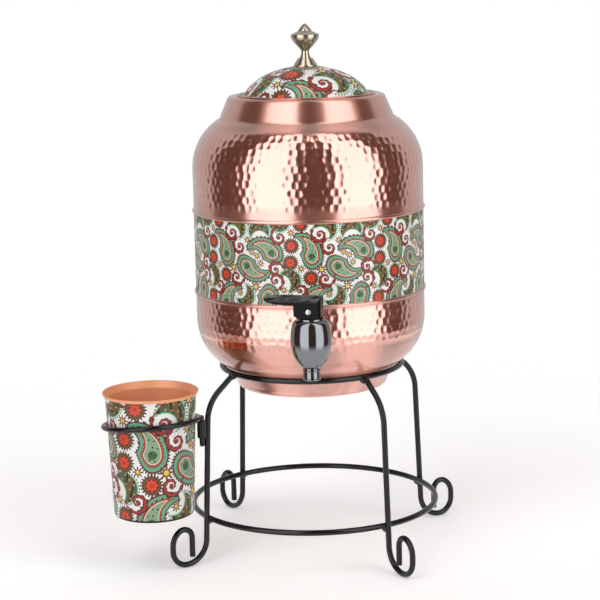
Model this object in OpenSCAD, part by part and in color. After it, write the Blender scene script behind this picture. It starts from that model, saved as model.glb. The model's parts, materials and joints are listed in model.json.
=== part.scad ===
// Copper water dispenser on a bent rod stand, with a lever tap, a lift-off lid
// and a tumbler in a swing-out holder.
// The origin is on the floor under the vessel's axis. +Z is up and the tap points to -Y.
// All lengths are millimetres and all angles are degrees.

/* [Stand] */
// Diameter of the rod that the stand is bent from
rod_d = 5; // [4:0.5:6]
// Centreline radius of the upper ring, which carries the vessel
top_ring_r = 79; // [74:1:84]
// Centreline height of the upper ring
top_ring_z = 162.5; // [155:0.5:180]
// Centreline radius of the legs where the lower ring meets them
leg_r = 112.2; // [106:0.2:120]
// Centreline height of the lower ring
low_ring_z = 38.5; // [36:0.5:60]
// Direction of the back right leg, seen from above
stand_turn = 33.5; // [25:0.5:45]
// Extra spread of the two back legs from square
back_spread = 3.5; // [0:0.5:6]
// Outward lean of the legs from upright
leg_lean = 2.6; // [0:0.1:4]
// Slope of the leg's top end below level
leg_slope = 40; // [34:1:46]
// Height of the leg's axis over the upper ring's axis where they cross
leg_rise = 2; // [1:0.25:2.5]
// Bend radius of the leg's arch
arch_r = 34; // [26:1:40]
// Depth that welded rods sink into each other
weld_set = 0.6; // [0.3:0.1:1]

/* [Scroll feet] */
// Bend radius from the leg to the floor
foot_r = 20; // [16:0.5:24]
// Bend radius from the floor up to the scroll's outer side
scroll_r = 13.5; // [11:0.5:16]
// Straight length on the scroll's outer side
scroll_rise = 4.8; // [2:0.2:7]
// Bend radius of the scroll's shoulder
crest_r = 14; // [12:0.5:16]
// Turn of the scroll's shoulder
crest_turn = 60; // [50:1:70]
// Bend radius of the curled end
curl_r = 8; // [7:0.5:9]
// Straight length of the curled end
curl_drop = 17; // [10:0.5:20]
// Depth of the flat ground under each foot
foot_flat = 0.4; // [0.2:0.1:0.8]

/* [Vessel] */
// Outer radius of the belly
belly_r = 100; // [94:0.5:106]
// Sheet thickness of the vessel
wall = 1.2; // [0.9:0.1:1.6]
// Corner radius between the belly and the bottom
bowl_r = 49; // [44:0.5:52]
// Height from the bowl's corner to the printed band
bowl_h = 25.5; // [22:0.5:40]
// Height of the printed band
band_h = 67.5; // [50:0.5:80]
// Height from the printed band to the shoulder's curve
drum_h = 38; // [25:0.5:50]
// Radius of the shoulder's curve
shoulder_r = 49; // [44:0.5:54]
// Height from the start of the shoulder's curve to the neck's crease
crease_h = 42.5; // [38:0.5:44]
// Height of the neck's cone
neck_h = 19; // [14:0.5:24]
// Slope of the neck's cone from upright
neck_slope = 23; // [16:0.5:28]
// Radius of the rolled edge at the top of the neck
roll_r = 3.5; // [2.5:0.25:5]
// Radius of the mouth
mouth_r = 56.5; // [50:0.5:58]
// Section radius of the beads above and below the band
bead_r = 1.7; // [1.4:0.1:2.2]
// Height that the beads stand out
bead_out = 1.3; // [0.9:0.1:1.5]
// Length of the joint lap inside the band
lap_h = 6; // [4:0.5:10]

/* [Vessel foot] */
// Outer radius at the top of the foot
foot_top_r = 73; // [70:0.5:75]
// Outer radius at the bottom of the foot
foot_low_r = 66.5; // [60:0.5:69]
// Depth of the foot's lower edge under the bowl's flat bottom
foot_drop = 12; // [8:0.5:16]
// Radius of the foot's lower edge
foot_edge_r = 4; // [3:0.25:5]
// Width of the foot's turned-in lower lip
foot_lip = 9; // [6:0.5:14]

/* [Lid] */
// Outer radius of the lid's brim
brim_r = 60; // [58:0.5:62]
// Sheet thickness of the lid
lid_wall = 1.1; // [0.9:0.1:1.6]
// Radius of the dome at the brim
dome_r = 50; // [48:0.5:54]
// Corner radius of the dome
dome_corner_r = 18.5; // [14:0.5:22]
// Crown radius of the dome
crown_r = 136; // [100:1:160]
// Height of the straight side between brim and dome corner
dome_side = 0.8; // [0.4:0.1:2]
// Depth of the skirt that enters the mouth
skirt_h = 9; // [6:0.5:14]
// Gap between the skirt and the mouth
skirt_gap = 0.6; // [0.4:0.1:1]

/* [Knob] */
// Height of the knob above the crown
knob_h = 36; // [30:0.5:40]
// Radius of the knob's base
knob_base_r = 10.25; // [8:0.25:11]
// Radius of the knob's waist
knob_waist_r = 3.3; // [3:0.1:4.5]
// Largest radius of the knob's head
knob_head_r = 12.25; // [10:0.25:14]
// Radius of the stud under the knob
stud_r = 2; // [1.6:0.1:2.4]
// Length of the stud under the crown
stud_l = 9; // [8:0.5:12]

/* [Tap] */
// Distance from the belly to the tap's axis
tap_reach = 40; // [39:0.5:46]
// Height of the tap's belt over the bowl's corner
tap_rise = 5.2; // [0:0.2:6]
// Radius of the tap at its belt
tap_r = 16.8; // [16:0.1:18]
// Height of the bonnet over the belt
bonnet_h = 17.7; // [17:0.1:20]
// Depth of the spout's end under the belt
spout_drop = 33.5; // [31:0.5:38]
// Outer radius of the spout's nozzle
nozzle_r = 7.5; // [7:0.1:8.5]
// Radius of the spout's bore
spout_bore_r = 4.6; // [4:0.1:5]
// Depth of the shank's axis under the belt
shank_drop = 7.5; // [7:0.25:8]
// Outer radius of the shank
shank_r = 6; // [5.5:0.1:6.4]
// Radius of the shank's bore
shank_bore_r = 3.8; // [3:0.1:4.2]
// Radius of the shank's flange
flange_r = 11; // [10:0.25:13]
// Thickness of the shank's flange
flange_t = 2.5; // [2:0.25:4]
// Thickness of the rubber washers
washer_t = 2; // [1.5:0.25:3]
// Thickness of the lock nut
nut_t = 6; // [4:0.5:8]
// Width of the lock nut across its flats
nut_w = 19; // [17:0.5:21]

/* [Valve] */
// Radius of the valve stem
stem_r = 2.5; // [2.2:0.1:2.7]
// Radius of the valve chamber
chamber_r = 9; // [8.5:0.1:9.4]
// Radius of the valve cup
cup_r = 7; // [6.5:0.1:7.5]
// Height of the valve cup's rim
cup_h = 4.4; // [4:0.1:4.8]
// Wire diameter of the return spring
wire_d = 0.9; // [0.7:0.1:1.1]
// Turns of the return spring
coil_turns = 5; // [4:1:6]
// Radial play of the stem in its guide
stem_play = 0.08; // [0.05:0.01:0.1]

/* [Lever] */
// Height of the lever's pin over the bonnet
pin_rise = 6; // [5.5:0.1:6.5]
// Radius of the lever's pin
pin_r = 1.5; // [1.2:0.1:1.7]
// Lift of the valve per radian of lever travel, which is the involute's base radius
cam_r = 6; // [5:0.25:6.5]
// Travel of the lever when it is pressed
lever_travel = 30; // [20:1:32]
// Play between the lever's cam and the bonnet
cam_play = 0.2; // [0.1:0.05:0.3]
// Length of the hub on the paddle's side of the pin
hub_front = 12.1; // [11:0.1:13]
// Length of the hub on the other side of the pin
hub_back = 9.7; // [9:0.1:11]
// Width of the hub and the paddle
hub_w = 17; // [16:0.5:18]
// Height of the lever's crowned top over the pin
hub_top = 12.4; // [11:0.2:14]
// Rise of the crowned top over the lever's edges
crown_rise = 4.8; // [4:0.2:6]
// Distance from the pin to the paddle's tip
paddle_l = 39; // [32:0.5:39]
// Height of the paddle's underside over the pin at the hub
paddle_z = 5.2; // [5:0.1:6.2]
// Rest direction of the lever, turned from square to the wall
lever_turn = -14; // [-20:1:20]

/* [Cup holder] */
// Diameter of the holder's rod
holder_d = 4.6; // [4:0.1:5]
// Height of the sleeve's lower end
sleeve_z = 112; // [100:0.5:118]
// Length of the sleeve
sleeve_h = 14.4; // [12:0.2:18]
// Wall of the sleeve
sleeve_wall = 1.6; // [1.2:0.1:2]
// Radial play of the pin in the sleeve
sleeve_play = 0.08; // [0.05:0.01:0.1]
// Distance from the holder's pin to the ring's centreline
pin_offset = 2; // [1.6:0.1:2.2]
// Length of the pin below the sleeve
pin_tail = 6; // [3:0.5:10]
// Rest direction of the ring from its pin
holder_turn = 186; // [170:1:230]
// Droop of the ring's far side
holder_droop = 3; // [0:0.5:4]
// Tilt of the ring about the line to its pin
holder_tilt = 6; // [0:0.5:8]

/* [Tumbler] */
// Height of the tumbler
tumbler_h = 107; // [90:1:120]
// Height of the tumbler's bottom
tumbler_z = 47.5; // [44:0.5:60]
// Outer radius of the tumbler at its bottom
tumbler_low_r = 34.6; // [31:0.2:36]
// Outer radius of the tumbler under its lip
tumbler_top_r = 38.6; // [37.8:0.2:41]
// Sheet thickness of the tumbler
tumbler_wall = 1.2; // [0.9:0.1:1.8]
// Flare of the tumbler's lip
lip_flare = 2.4; // [1.5:0.1:3]
// Edge radius at the tumbler's bottom
tumbler_edge_r = 3; // [2:0.25:4]

/* [Fits] */
// Gap left between curved faces that seat on each other
seat_gap = 0.3; // [0.2:0.05:0.4]
// Gap round threads, plugs and fixed shafts
thread_gap = 0.05; // [0.03:0.01:0.08]

/* [Hidden] */
$fn = 64;
// A small overlap for cuts that pass right through
eps = 0.01;
// Larger than any piece, for cutting planes
big = 400;
// Colours
rod_black = "#1c1c1e";
copper = "#b87860";
printed = "#e8e4d8";
brass = "#b8a878";
chrome = "#c8ccd0";
lever_black = "#151515";
rubber = "#30302e";
steel = "#9a9da0";

rod_r = rod_d / 2;
// Leg: the corner between the sloping top end and the leaning shank, in the leg's own plane
leg_top_z = top_ring_z + leg_rise;
leg_foot_r = leg_r + low_ring_z * tan(leg_lean);
corner_z = (leg_top_z - tan(leg_slope) * (leg_foot_r - top_ring_r)) / (1 - tan(leg_slope) * tan(leg_lean));
corner_r = leg_foot_r - corner_z * tan(leg_lean);
arch_turn = 90 - leg_lean - leg_slope;
arch_tangent = arch_r * tan(arch_turn / 2);
// The leg's end starts past the ring's crown, so that it stays clear of the vessel
leg_start = 0.9 * rod_r;
leg_run = norm([corner_r - top_ring_r, leg_top_z - corner_z]) - arch_tangent - leg_start;
foot_z = rod_r - foot_flat;
bend_z = foot_z + foot_r * (1 - sin(leg_lean));
shank_run = (corner_z - arch_tangent * cos(leg_lean) - bend_z) / cos(leg_lean);
// Each step of a bent rod is [straight length, bend radius, turn], and positive turns go up
leg_steps = [
  [leg_run, 0, 0],
  [0, arch_r, -arch_turn],
  [shank_run, 0, 0],
  [0, foot_r, 90 - leg_lean],
  [0, scroll_r, 90],
  [scroll_rise, 0, 0],
  [0, crest_r, crest_turn],
  [0, curl_r, 180 - crest_turn],
  [curl_drop, 0, 0]
];
low_ring_r = leg_r - rod_d + weld_set;
// Joints along a bent rod: length and height of the fine collar
joint_l = 0.6;
joint_lip = 0.02;

// Vessel: it sits with its bowl's curve on the upper ring
bowl_axis_r = belly_r - bowl_r;
seat_r = bowl_r + rod_r + seat_gap;
bowl_z = top_ring_z + sqrt(pow(seat_r, 2) - pow(top_ring_r - bowl_axis_r, 2));
band_z = bowl_z + bowl_h;
band_top = band_z + band_h;
shoulder_z = band_top + drum_h;
shoulder_axis_r = belly_r - shoulder_r;
crease_z = shoulder_z + crease_h;
crease_r = shoulder_axis_r + sqrt(pow(shoulder_r, 2) - pow(crease_h, 2));
ledge_z = crease_z + neck_h;
roll_z = ledge_z - roll_r;
bottom_z = bowl_z - bowl_r;
// The foot's top edge is cut to the bowl's curve, which it passes by foot_lap
foot_lap = 0.8;
foot_top_z = bowl_z - sqrt(pow(bowl_r, 2) - pow(foot_top_r - bowl_axis_r, 2)) + foot_lap;
foot_low_z = bottom_z - foot_drop;

// Lid: the dome's corner circle lies inside the crown circle and touches it
brim_top = ledge_z + lid_wall;
dome_axis_r = dome_r - dome_corner_r;
dome_corner_z = brim_top + dome_side;
crown_z = dome_corner_z - sqrt(pow(crown_r - dome_corner_r, 2) - pow(dome_axis_r, 2));
crown_turn = acos(dome_axis_r / (crown_r - dome_corner_r));
crown_top = crown_z + crown_r;
// Depth of the knob's base before it is fitted to the crown
knob_sink = 2;
// The flat washer's rim touches the underside of the crown
knob_washer_r = 3 * stud_r;
knob_washer_t = 1.2;
knob_washer_top = crown_z + sqrt(pow(crown_r - lid_wall, 2) - pow(knob_washer_r, 2));

// Tap
tap_y = -belly_r - tap_reach;
belt_z = bowl_z + tap_rise;
bonnet_top = belt_z + bonnet_h;
spout_z = belt_z - spout_drop;
shank_z = belt_z - shank_drop;
flange_y = -belly_r - washer_t;
nut_y = -belly_r + wall + 1.5 * washer_t;
shank_end = nut_y + nut_t + 3;
// The egg's round runs into its cone at this angle, with the cone drawn in a little so that they cross
egg_turn = 35;
cone_inset = 0.03;
cone_r = tap_r * cos(egg_turn) - cone_inset;
cone_z = belt_z - tap_r * sin(egg_turn);
nozzle_lip = 0.6;
throat_r = nozzle_r - nozzle_lip;
throat_z = cone_z - (cone_r - throat_r) / tan(egg_turn);
nozzle_h = 8.5;
chamber_z = cone_z + 0.4;
spigot_r = chamber_r + 3.6;
spigot_h = 5;
pocket_top = belt_z + 7;
seal_d = 1.7;
seal_z = belt_z + 11;
seal_r = stem_r + thread_gap + seal_d / 2;

// Valve
cup_z = chamber_z + 0.1;
cup_top = cup_z + cup_h;
heel_r = stem_r + 1.6;
heel_h = 1.6;
heel_z = cup_z + 1.2;
coil_r = stem_r + 2.2;
coil_z = cup_top + wire_d / 2;
coil_h = pocket_top - cup_top - wire_d;
coil_steps = 20;
coil_sides = 8;

// Lever, in a frame with the pin at the origin and the paddle along -X
pin_z = bonnet_top + pin_rise;
sole = pin_rise - cam_play;
tongue_w = 5;
tongue_r = 4;
slot_play = 0.3;
cam_steps = 10;
// The paddle narrows to its tip: rise of its underside and fall of its top
tip_rise = 4;
tip_fall = 2.2;
paddle_steps = 10;
crown_arc_r = (pow(hub_w / 2, 2) + pow(crown_rise, 2)) / (2 * crown_rise);
function cam_reach(turn) = sole + cam_r * turn * PI / 180;
// A point of the involute: the cam's face lies at cam_reach(turn) under the pin when the lever has turned
function cam_point(turn) =
  cam_reach(turn) * [-sin(turn), -cos(turn)] + cam_r * [-cos(turn), sin(turn)];
cam_end = cam_point(lever_travel);
cam_side_z = cam_end.y + (hub_front + cam_end.x) * tan(lever_travel);

// Cup holder and tumbler
holder_r = holder_d / 2;
sleeve_bore_r = holder_r + sleeve_play;
sleeve_r = sleeve_bore_r + sleeve_wall;
sleeve_leg = 180;
sleeve_mid_r = leg_foot_r - (sleeve_z + sleeve_h / 2) * tan(leg_lean);
sleeve_axis_r = sleeve_mid_r + rod_r + sleeve_r - weld_set;
sleeve_axis = sleeve_axis_r * [cos(stand_turn + sleeve_leg), sin(stand_turn + sleeve_leg)];
// The tilted ring stays clear of the sleeve's edge
holder_z = sleeve_z + sleeve_h + holder_r / cos(holder_tilt) + sleeve_r * tan(holder_tilt) + seat_gap;
lip_h = 2.2 * lip_flare;
tumbler_rim = tumbler_z + tumbler_h;
tumbler_taper = (tumbler_top_r - tumbler_low_r) / (tumbler_h - lip_h);
// The ring is sized where its raised side meets the tumbler's taper
held_r = tumbler_low_r + (holder_z + holder_d - tumbler_z) * tumbler_taper;
holder_ring_r = (held_r + seat_gap + holder_r) / cos(holder_tilt);
tumbler_axis_d = pin_offset + holder_ring_r * cos(holder_droop);
tumbler_axis = sleeve_axis + tumbler_axis_d * [cos(holder_turn), sin(holder_turn)];

// A torus about the Z axis
module ring(centre_r, d) {
  rotate_extrude() translate([centre_r, 0]) circle(d = d);
}

// Part of a torus that starts at the origin along +X and bends towards +Z, held back at both ends
module rod_bend(d, bend_r, turn, hold) {
  back = hold / bend_r * 180 / PI;
  rotate([90, 0, 0]) rotate([0, 0, -90]) translate([-bend_r, 0, 0])
    rotate([0, 0, back]) rotate_extrude(angle = turn - 2 * back) translate([bend_r, 0]) circle(d = d);
}

// The fine collar that closes the joint between a straight and a bend
module rod_joint(d) {
  rotate([0, 90, 0]) cylinder(d = d + 2 * joint_lip, h = joint_l, center = true);
}

// A rod bent in the XZ plane, which starts at the origin along +X
module bent_rod(steps, d, i = 0) {
  if (i < len(steps)) {
    run = steps[i][0];
    bend_r = steps[i][1];
    turn = steps[i][2];
    hold = joint_l / 4;
    last = i == len(steps) - 1;
    if (i > 0) rod_joint(d);
    if (bend_r == 0) {
      start = i > 0 ? hold : 0;
      translate([start, 0, 0]) rotate([0, 90, 0]) cylinder(d = d, h = run - start - (last ? 0 : hold));
      translate([run, 0, 0]) bent_rod(steps, d, i + 1);
    } else {
      up = sign(turn);
      bend = abs(turn);
      mirror([0, 0, up < 0 ? 1 : 0]) rod_bend(d, bend_r, bend, hold);
      translate([bend_r * sin(bend), 0, up * bend_r * (1 - cos(bend))])
        rotate([0, -turn, 0]) bent_rod(steps, d, i + 1);
    }
  }
}

// The rod of one leg before its ends are fitted to the rings, with the leg along +X
module leg_rod() {
  translate([top_ring_r, 0, leg_top_z]) rotate([0, leg_slope, 0])
    translate([leg_start, 0, 0]) bent_rod(leg_steps, rod_d);
}

module stand_top_ring() {
  color(rod_black) translate([0, 0, top_ring_z]) ring(top_ring_r, rod_d);
}

module stand_bottom_ring() {
  color(rod_black) translate([0, 0, low_ring_z]) ring(low_ring_r, rod_d);
}

// A leg, notched where the two rings are welded to it and ground flat under its foot
module leg(turn) {
  color(rod_black) rotate([0, 0, stand_turn + turn]) difference() {
    leg_rod();
    translate([0, 0, top_ring_z]) ring(top_ring_r, rod_d);
    translate([0, 0, low_ring_z]) ring(low_ring_r, rod_d);
    translate([0, -rod_d, -rod_d]) cube([big, 2 * rod_d, rod_d]);
  }
}

module leg_back_right() { leg(-back_spread); }
module leg_back_left() { leg(90 + back_spread); }
module leg_front_left() { leg(sleeve_leg); }
module leg_front_right() { leg(270); }

// The tube that is welded to the front left leg and takes the holder's pin
module cup_holder_sleeve() {
  color(rod_black) difference() {
    translate([sleeve_axis.x, sleeve_axis.y, sleeve_z]) cylinder(r = sleeve_r, h = sleeve_h);
    translate([sleeve_axis.x, sleeve_axis.y, sleeve_z - eps]) cylinder(r = sleeve_bore_r, h = sleeve_h + 2 * eps);
    rotate([0, 0, stand_turn + sleeve_leg]) leg_rod();
  }
}

// The ring with the pin that drops into the sleeve
module cup_holder_ring() {
  color(rod_black) translate([sleeve_axis.x, sleeve_axis.y, 0]) rotate([0, 0, holder_turn]) {
    translate([pin_offset, 0, holder_z]) rotate([holder_tilt, holder_droop, 0])
      translate([holder_ring_r, 0, 0]) ring(holder_ring_r, holder_d);
    translate([0, 0, sleeve_z - pin_tail]) cylinder(d = holder_d, h = holder_z - sleeve_z + pin_tail);
    translate([0, 0, sleeve_z - pin_tail]) sphere(d = holder_d);
    translate([0, 0, holder_z]) sphere(d = holder_d);
  }
}

// Half of the tumbler's section, drawn in from the outer face by inset
module tumbler_section(inset) {
  low_z = tumbler_z + inset;
  edge_r = tumbler_edge_r - inset;
  edge_axis = [tumbler_low_r - tumbler_edge_r, tumbler_z + tumbler_edge_r];
  lip_z = tumbler_rim - lip_h;
  difference() {
    union() {
      translate([0, low_z]) square([edge_axis.x, big]);
      translate(edge_axis) circle(r = edge_r);
      polygon([
        [0, edge_axis.y],
        [tumbler_low_r - inset, edge_axis.y],
        [tumbler_top_r - inset, lip_z],
        [tumbler_top_r + lip_flare - inset, tumbler_rim],
        [0, tumbler_rim]
      ]);
    }
    translate([-big, low_z - big]) square([big, 2 * big]);
    translate([0, tumbler_rim]) square(big);
  }
}

module tumbler() {
  color(printed) translate([tumbler_axis.x, tumbler_axis.y, 0]) rotate_extrude() {
    difference() {
      tumbler_section(0);
      tumbler_section(tumbler_wall);
      translate([0, tumbler_rim - eps]) square([tumbler_top_r + lip_flare - tumbler_wall, 1]);
    }
    translate([tumbler_top_r + lip_flare - tumbler_wall / 2, tumbler_rim]) circle(d = tumbler_wall);
  }
}

// Half of the vessel's section, drawn in from the outer face by inset
module vessel_section(inset) {
  neck_in = inset / cos(neck_slope);
  neck_top_r = crease_r - (roll_z - crease_z) * tan(neck_slope);
  roll_axis_r = neck_top_r - roll_r / cos(neck_slope);
  intersection() {
    translate([0, bottom_z + inset]) square([big, ledge_z - bottom_z - 2 * inset]);
    union() {
      translate([0, bottom_z]) square([bowl_axis_r, ledge_z - bottom_z - roll_r]);
      translate([bowl_axis_r, bowl_z]) circle(r = bowl_r - inset, $fn = 128);
      translate([0, bowl_z]) square([belly_r - inset, shoulder_z - bowl_z]);
      intersection() {
        translate([shoulder_axis_r, shoulder_z]) circle(r = shoulder_r - inset, $fn = 128);
        translate([0, shoulder_z]) square([big, crease_h]);
      }
      translate([0, shoulder_z]) square([shoulder_axis_r, crease_h]);
      polygon([
        [0, crease_z - shoulder_r / 4],
        [crease_r - neck_in, crease_z - shoulder_r / 4],
        [crease_r - neck_in, crease_z],
        [neck_top_r - neck_in, roll_z],
        [0, roll_z]
      ]);
      translate([roll_axis_r, roll_z]) circle(r = roll_r - inset);
      translate([0, roll_z]) square([roll_axis_r, roll_r]);
    }
  }
}

module vessel_solid(inset) {
  rotate_extrude($fn = 360) vessel_section(inset);
}

// Half of the sheet's section between two heights
module vessel_sheet(low, high) {
  intersection() {
    difference() {
      vessel_section(0);
      vessel_section(wall);
    }
    translate([0, low]) square([big, high - low]);
  }
}

// Half of the section of a bead and of the lap that enters the band, for an edge at height edge_z.
// The lap goes up for side 1 and down for side -1.
module joint_section(edge_z, side) {
  lap_r = belly_r - wall - thread_gap;
  translate([0, edge_z]) mirror([0, side < 0 ? 1 : 0]) {
    intersection() {
      translate([belly_r + bead_out - bead_r, -bead_r]) circle(r = bead_r);
      translate([belly_r - wall / 2, -big / 2]) square([big, big]);
    }
    translate([lap_r - wall, -lap_h / 2]) square([wall, lap_h * 1.5]);
    translate([lap_r - wall, -lap_h / 2]) square([1.5 * wall, lap_h / 2]);
  }
}

module lower_bowl() {
  color(copper) difference() {
    rotate_extrude($fn = 128) {
      vessel_sheet(bottom_z, band_z);
      joint_section(band_z, 1);
    }
    translate([0, -belly_r / 2, shank_z]) rotate([90, 0, 0]) cylinder(r = shank_r + seat_gap, h = belly_r);
  }
}

// The soldered foot under the bowl, with a turned-in lower lip
module foot_ring() {
  color(copper) difference() {
    rotate_extrude($fn = 128) difference() {
      foot_section(0);
      foot_section(wall);
      translate([0, foot_low_z - eps]) square([foot_low_r - foot_edge_r - foot_lip, big]);
    }
    vessel_solid(0);
  }
}

// Half of the foot's section, drawn in from the outer face by inset
module foot_section(inset) {
  edge_axis = [foot_low_r - foot_edge_r, foot_low_z + foot_edge_r];
  translate([0, foot_low_z + inset]) square([edge_axis.x, foot_top_z - foot_low_z - inset]);
  intersection() {
    translate(edge_axis) circle(r = foot_edge_r - inset);
    translate([0, foot_low_z - eps]) square([big, foot_edge_r + eps]);
  }
  polygon([
    [0, edge_axis.y],
    [foot_low_r - inset, edge_axis.y],
    [foot_top_r - inset, foot_top_z],
    [0, foot_top_z]
  ]);
}

module belly_band() {
  color(printed) rotate_extrude($fn = 128) translate([belly_r - wall, band_z]) square([wall, band_h]);
}

// The hammered shoulder with the plain neck and the ledge that the lid rests on
module shoulder_shell() {
  color(copper) rotate_extrude($fn = 128) difference() {
    union() {
      vessel_sheet(band_top, ledge_z);
      joint_section(band_top, -1);
    }
    translate([0, roll_z - eps]) square([mouth_r, big]);
  }
}

// Half of the lid's section, drawn in from the outer face by inset
module dome_section(inset) {
  intersection() {
    translate([0, ledge_z - eps]) square(big);
    union() {
      intersection() {
        translate([0, crown_z]) circle(r = crown_r - inset, $fn = 128);
        polygon([
          [0, crown_z],
          [big * cos(crown_turn), crown_z + big * sin(crown_turn)],
          [0, crown_z + big]
        ]);
      }
      translate([dome_axis_r, dome_corner_z]) intersection() {
        circle(r = dome_corner_r - inset);
        square(big);
      }
      translate([0, ledge_z - eps]) square([dome_r - inset, dome_corner_z - ledge_z + eps]);
      translate([0, ledge_z - eps]) square([dome_axis_r, dome_corner_z + dome_corner_r / 2 - ledge_z]);
    }
  }
}

module lid_dome() {
  color(printed) rotate_extrude($fn = 128) difference() {
    union() {
      dome_section(0);
      translate([0, ledge_z]) square([brim_r - lid_wall / 2, lid_wall]);
      translate([brim_r - lid_wall / 2, ledge_z + lid_wall / 2]) circle(d = lid_wall);
    }
    dome_section(lid_wall);
    translate([0, ledge_z - 1]) square([big, 1]);
    square([stud_r + thread_gap, big * 2]);
  }
}

// The ring under the brim that centres the lid in the mouth
module lid_skirt() {
  skirt_r = mouth_r - skirt_gap;
  color(copper) rotate_extrude($fn = 128)
    translate([skirt_r - lid_wall, ledge_z - skirt_h]) square([lid_wall, skirt_h]);
}

// Half of the knob's section: a flared base, a slim waist, a full head and a blunt point
module knob_section() {
  base_z = 0.175 * knob_h;
  waist_z = 0.35 * knob_h;
  head_z = 0.72 * knob_h;
  point_z = 0.81 * knob_h;
  edge = 0.6;
  point_r = 0.48 * knob_head_r;
  tip_r = 1.2;
  swell = 8;
  polygon(concat(
    [[0, -knob_sink], [knob_base_r, -knob_sink], [knob_base_r, edge], [knob_waist_r + 5 * edge, base_z]],
    [for (i = [0:swell]) let (t = i / swell)
      [knob_waist_r + 3 * edge * pow(1 - t, 2), base_z + (waist_z - base_z) * t]],
    [for (i = [1:swell]) let (t = i / swell)
      [knob_waist_r + (knob_head_r - knob_waist_r) * pow(sin(90 * t), 1.25), waist_z + (head_z - waist_z) * t]],
    [[knob_head_r, head_z + edge], [point_r + edge, point_z], [point_r, point_z + edge]],
    [for (i = [1:swell]) let (t = i / swell)
      [tip_r + (point_r - tip_r) * (1 - pow(t, 1.3)), point_z + edge + (knob_h - point_z - 2 * edge) * t]],
    [[0, knob_h]]
  ));
}

module lid_knob() {
  color(brass) {
    difference() {
      translate([0, 0, crown_top]) rotate_extrude() knob_section();
      rotate_extrude($fn = 128) dome_section(0);
    }
    translate([0, 0, crown_top - stud_l]) cylinder(r = stud_r, h = stud_l + knob_sink);
  }
}

module knob_washer() {
  color(steel) translate([0, 0, knob_washer_top - knob_washer_t]) difference() {
    cylinder(r = knob_washer_r, h = knob_washer_t);
    translate([0, 0, -eps]) cylinder(r = stud_r + thread_gap, h = knob_washer_t + 2 * eps);
  }
}

module knob_nut() {
  nut_h = 1.6 * stud_r;
  color(steel) translate([0, 0, knob_washer_top - knob_washer_t - nut_h]) difference() {
    cylinder(r = 2 * stud_r, h = nut_h, $fn = 6);
    translate([0, 0, -eps]) cylinder(r = stud_r + thread_gap, h = nut_h + 2 * eps);
  }
}

// Half of the outer section of the tap's lower half, from the belt to the spout's end
module tap_section() {
  intersection() {
    translate([0, belt_z]) circle(r = tap_r);
    translate([0, cone_z - 2]) square([big, belt_z - cone_z + 2]);
  }
  polygon([
    [0, cone_z],
    [cone_r, cone_z],
    [throat_r, throat_z],
    [throat_r, spout_z + nozzle_h + nozzle_lip],
    [nozzle_r, spout_z + nozzle_h],
    [nozzle_r, spout_z + nozzle_h - nozzle_lip],
    [throat_r, spout_z + nozzle_h - 2 * nozzle_lip],
    [throat_r, spout_z + 3 * nozzle_lip],
    [nozzle_r, spout_z + 2 * nozzle_lip],
    [nozzle_r, spout_z + nozzle_lip],
    [throat_r, spout_z],
    [0, spout_z]
  ]);
}

// The tap's lower half with the spout, the shank and its flange
module tap_body() {
  color(chrome) translate([0, tap_y, 0]) difference() {
    union() {
      rotate_extrude() tap_section();
      translate([0, 0, shank_z]) rotate([-90, 0, 0]) cylinder(r = shank_r, h = shank_end - tap_y);
      translate([0, flange_y - flange_t - tap_y, shank_z]) rotate([-90, 0, 0]) cylinder(r = flange_r, h = flange_t);
      translate([0, 0, shank_z]) rotate([-90, 0, 0]) cylinder(r = shank_r + 1.5, h = flange_y - tap_y - flange_t / 2);
    }
    translate([0, 0, chamber_z]) cylinder(r = chamber_r, h = tap_r);
    translate([0, 0, belt_z - spigot_h]) cylinder(r = spigot_r + thread_gap, h = tap_r);
    translate([0, 0, belt_z]) cylinder(r = tap_r + 2, h = tap_r);
    translate([0, 0, spout_z - eps]) cylinder(r = spout_bore_r, h = chamber_z - spout_z + 2 * eps);
    translate([0, chamber_r / 2, shank_z]) rotate([-90, 0, 0]) cylinder(r = shank_bore_r, h = big);
  }
}

// Half of the bonnet's outer section: a barrel with a rounded top edge and a flat seat for the lever
module bonnet_section() {
  top_edge_r = 5.5;
  barrel_r = 3 * tap_r;
  top_axis_z = bonnet_top - 1 - top_edge_r;
  side_r = tap_r - barrel_r + sqrt(pow(barrel_r - top_edge_r, 2) - pow(top_axis_z - belt_z, 2));
  turn = asin((top_axis_z - belt_z) / (barrel_r - top_edge_r));
  seat_r = tap_r - 5.5;
  intersection() {
    translate([tap_r - barrel_r, belt_z]) circle(r = barrel_r, $fn = 128);
    translate([0, belt_z]) square([tap_r, top_axis_z + top_edge_r * sin(turn) - belt_z]);
  }
  intersection() {
    translate([side_r, top_axis_z]) circle(r = top_edge_r);
    translate([0, top_axis_z + top_edge_r * sin(turn) - eps]) square(big);
  }
  translate([0, belt_z]) square([side_r, top_axis_z + top_edge_r - belt_z]);
  translate([0, belt_z]) square([seat_r, bonnet_h]);
}

// The tap's upper half, which screws into the body and guides the stem
module tap_bonnet() {
  color(chrome) translate([0, tap_y, 0]) difference() {
    union() {
      rotate_extrude() bonnet_section();
      translate([0, 0, belt_z - spigot_h]) cylinder(r = spigot_r, h = spigot_h + eps);
    }
    translate([0, 0, belt_z - spigot_h - eps]) cylinder(r = chamber_r, h = pocket_top - belt_z + spigot_h + eps);
    translate([0, 0, pocket_top - eps]) cylinder(r = stem_r + stem_play, h = big);
    translate([0, 0, seal_z]) cylinder(r = seal_r + seal_d / 2 + thread_gap, h = seal_d + 2 * thread_gap);
  }
}

// A round washer on the shank's axis between two distances from the vessel's axis
module shank_disc(r, y0, y1) {
  translate([0, y0, shank_z]) rotate([-90, 0, 0]) difference() {
    cylinder(r = r, h = y1 - y0);
    translate([0, 0, -eps]) cylinder(r = shank_r + thread_gap, h = y1 - y0 + 2 * eps);
  }
}

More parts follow.
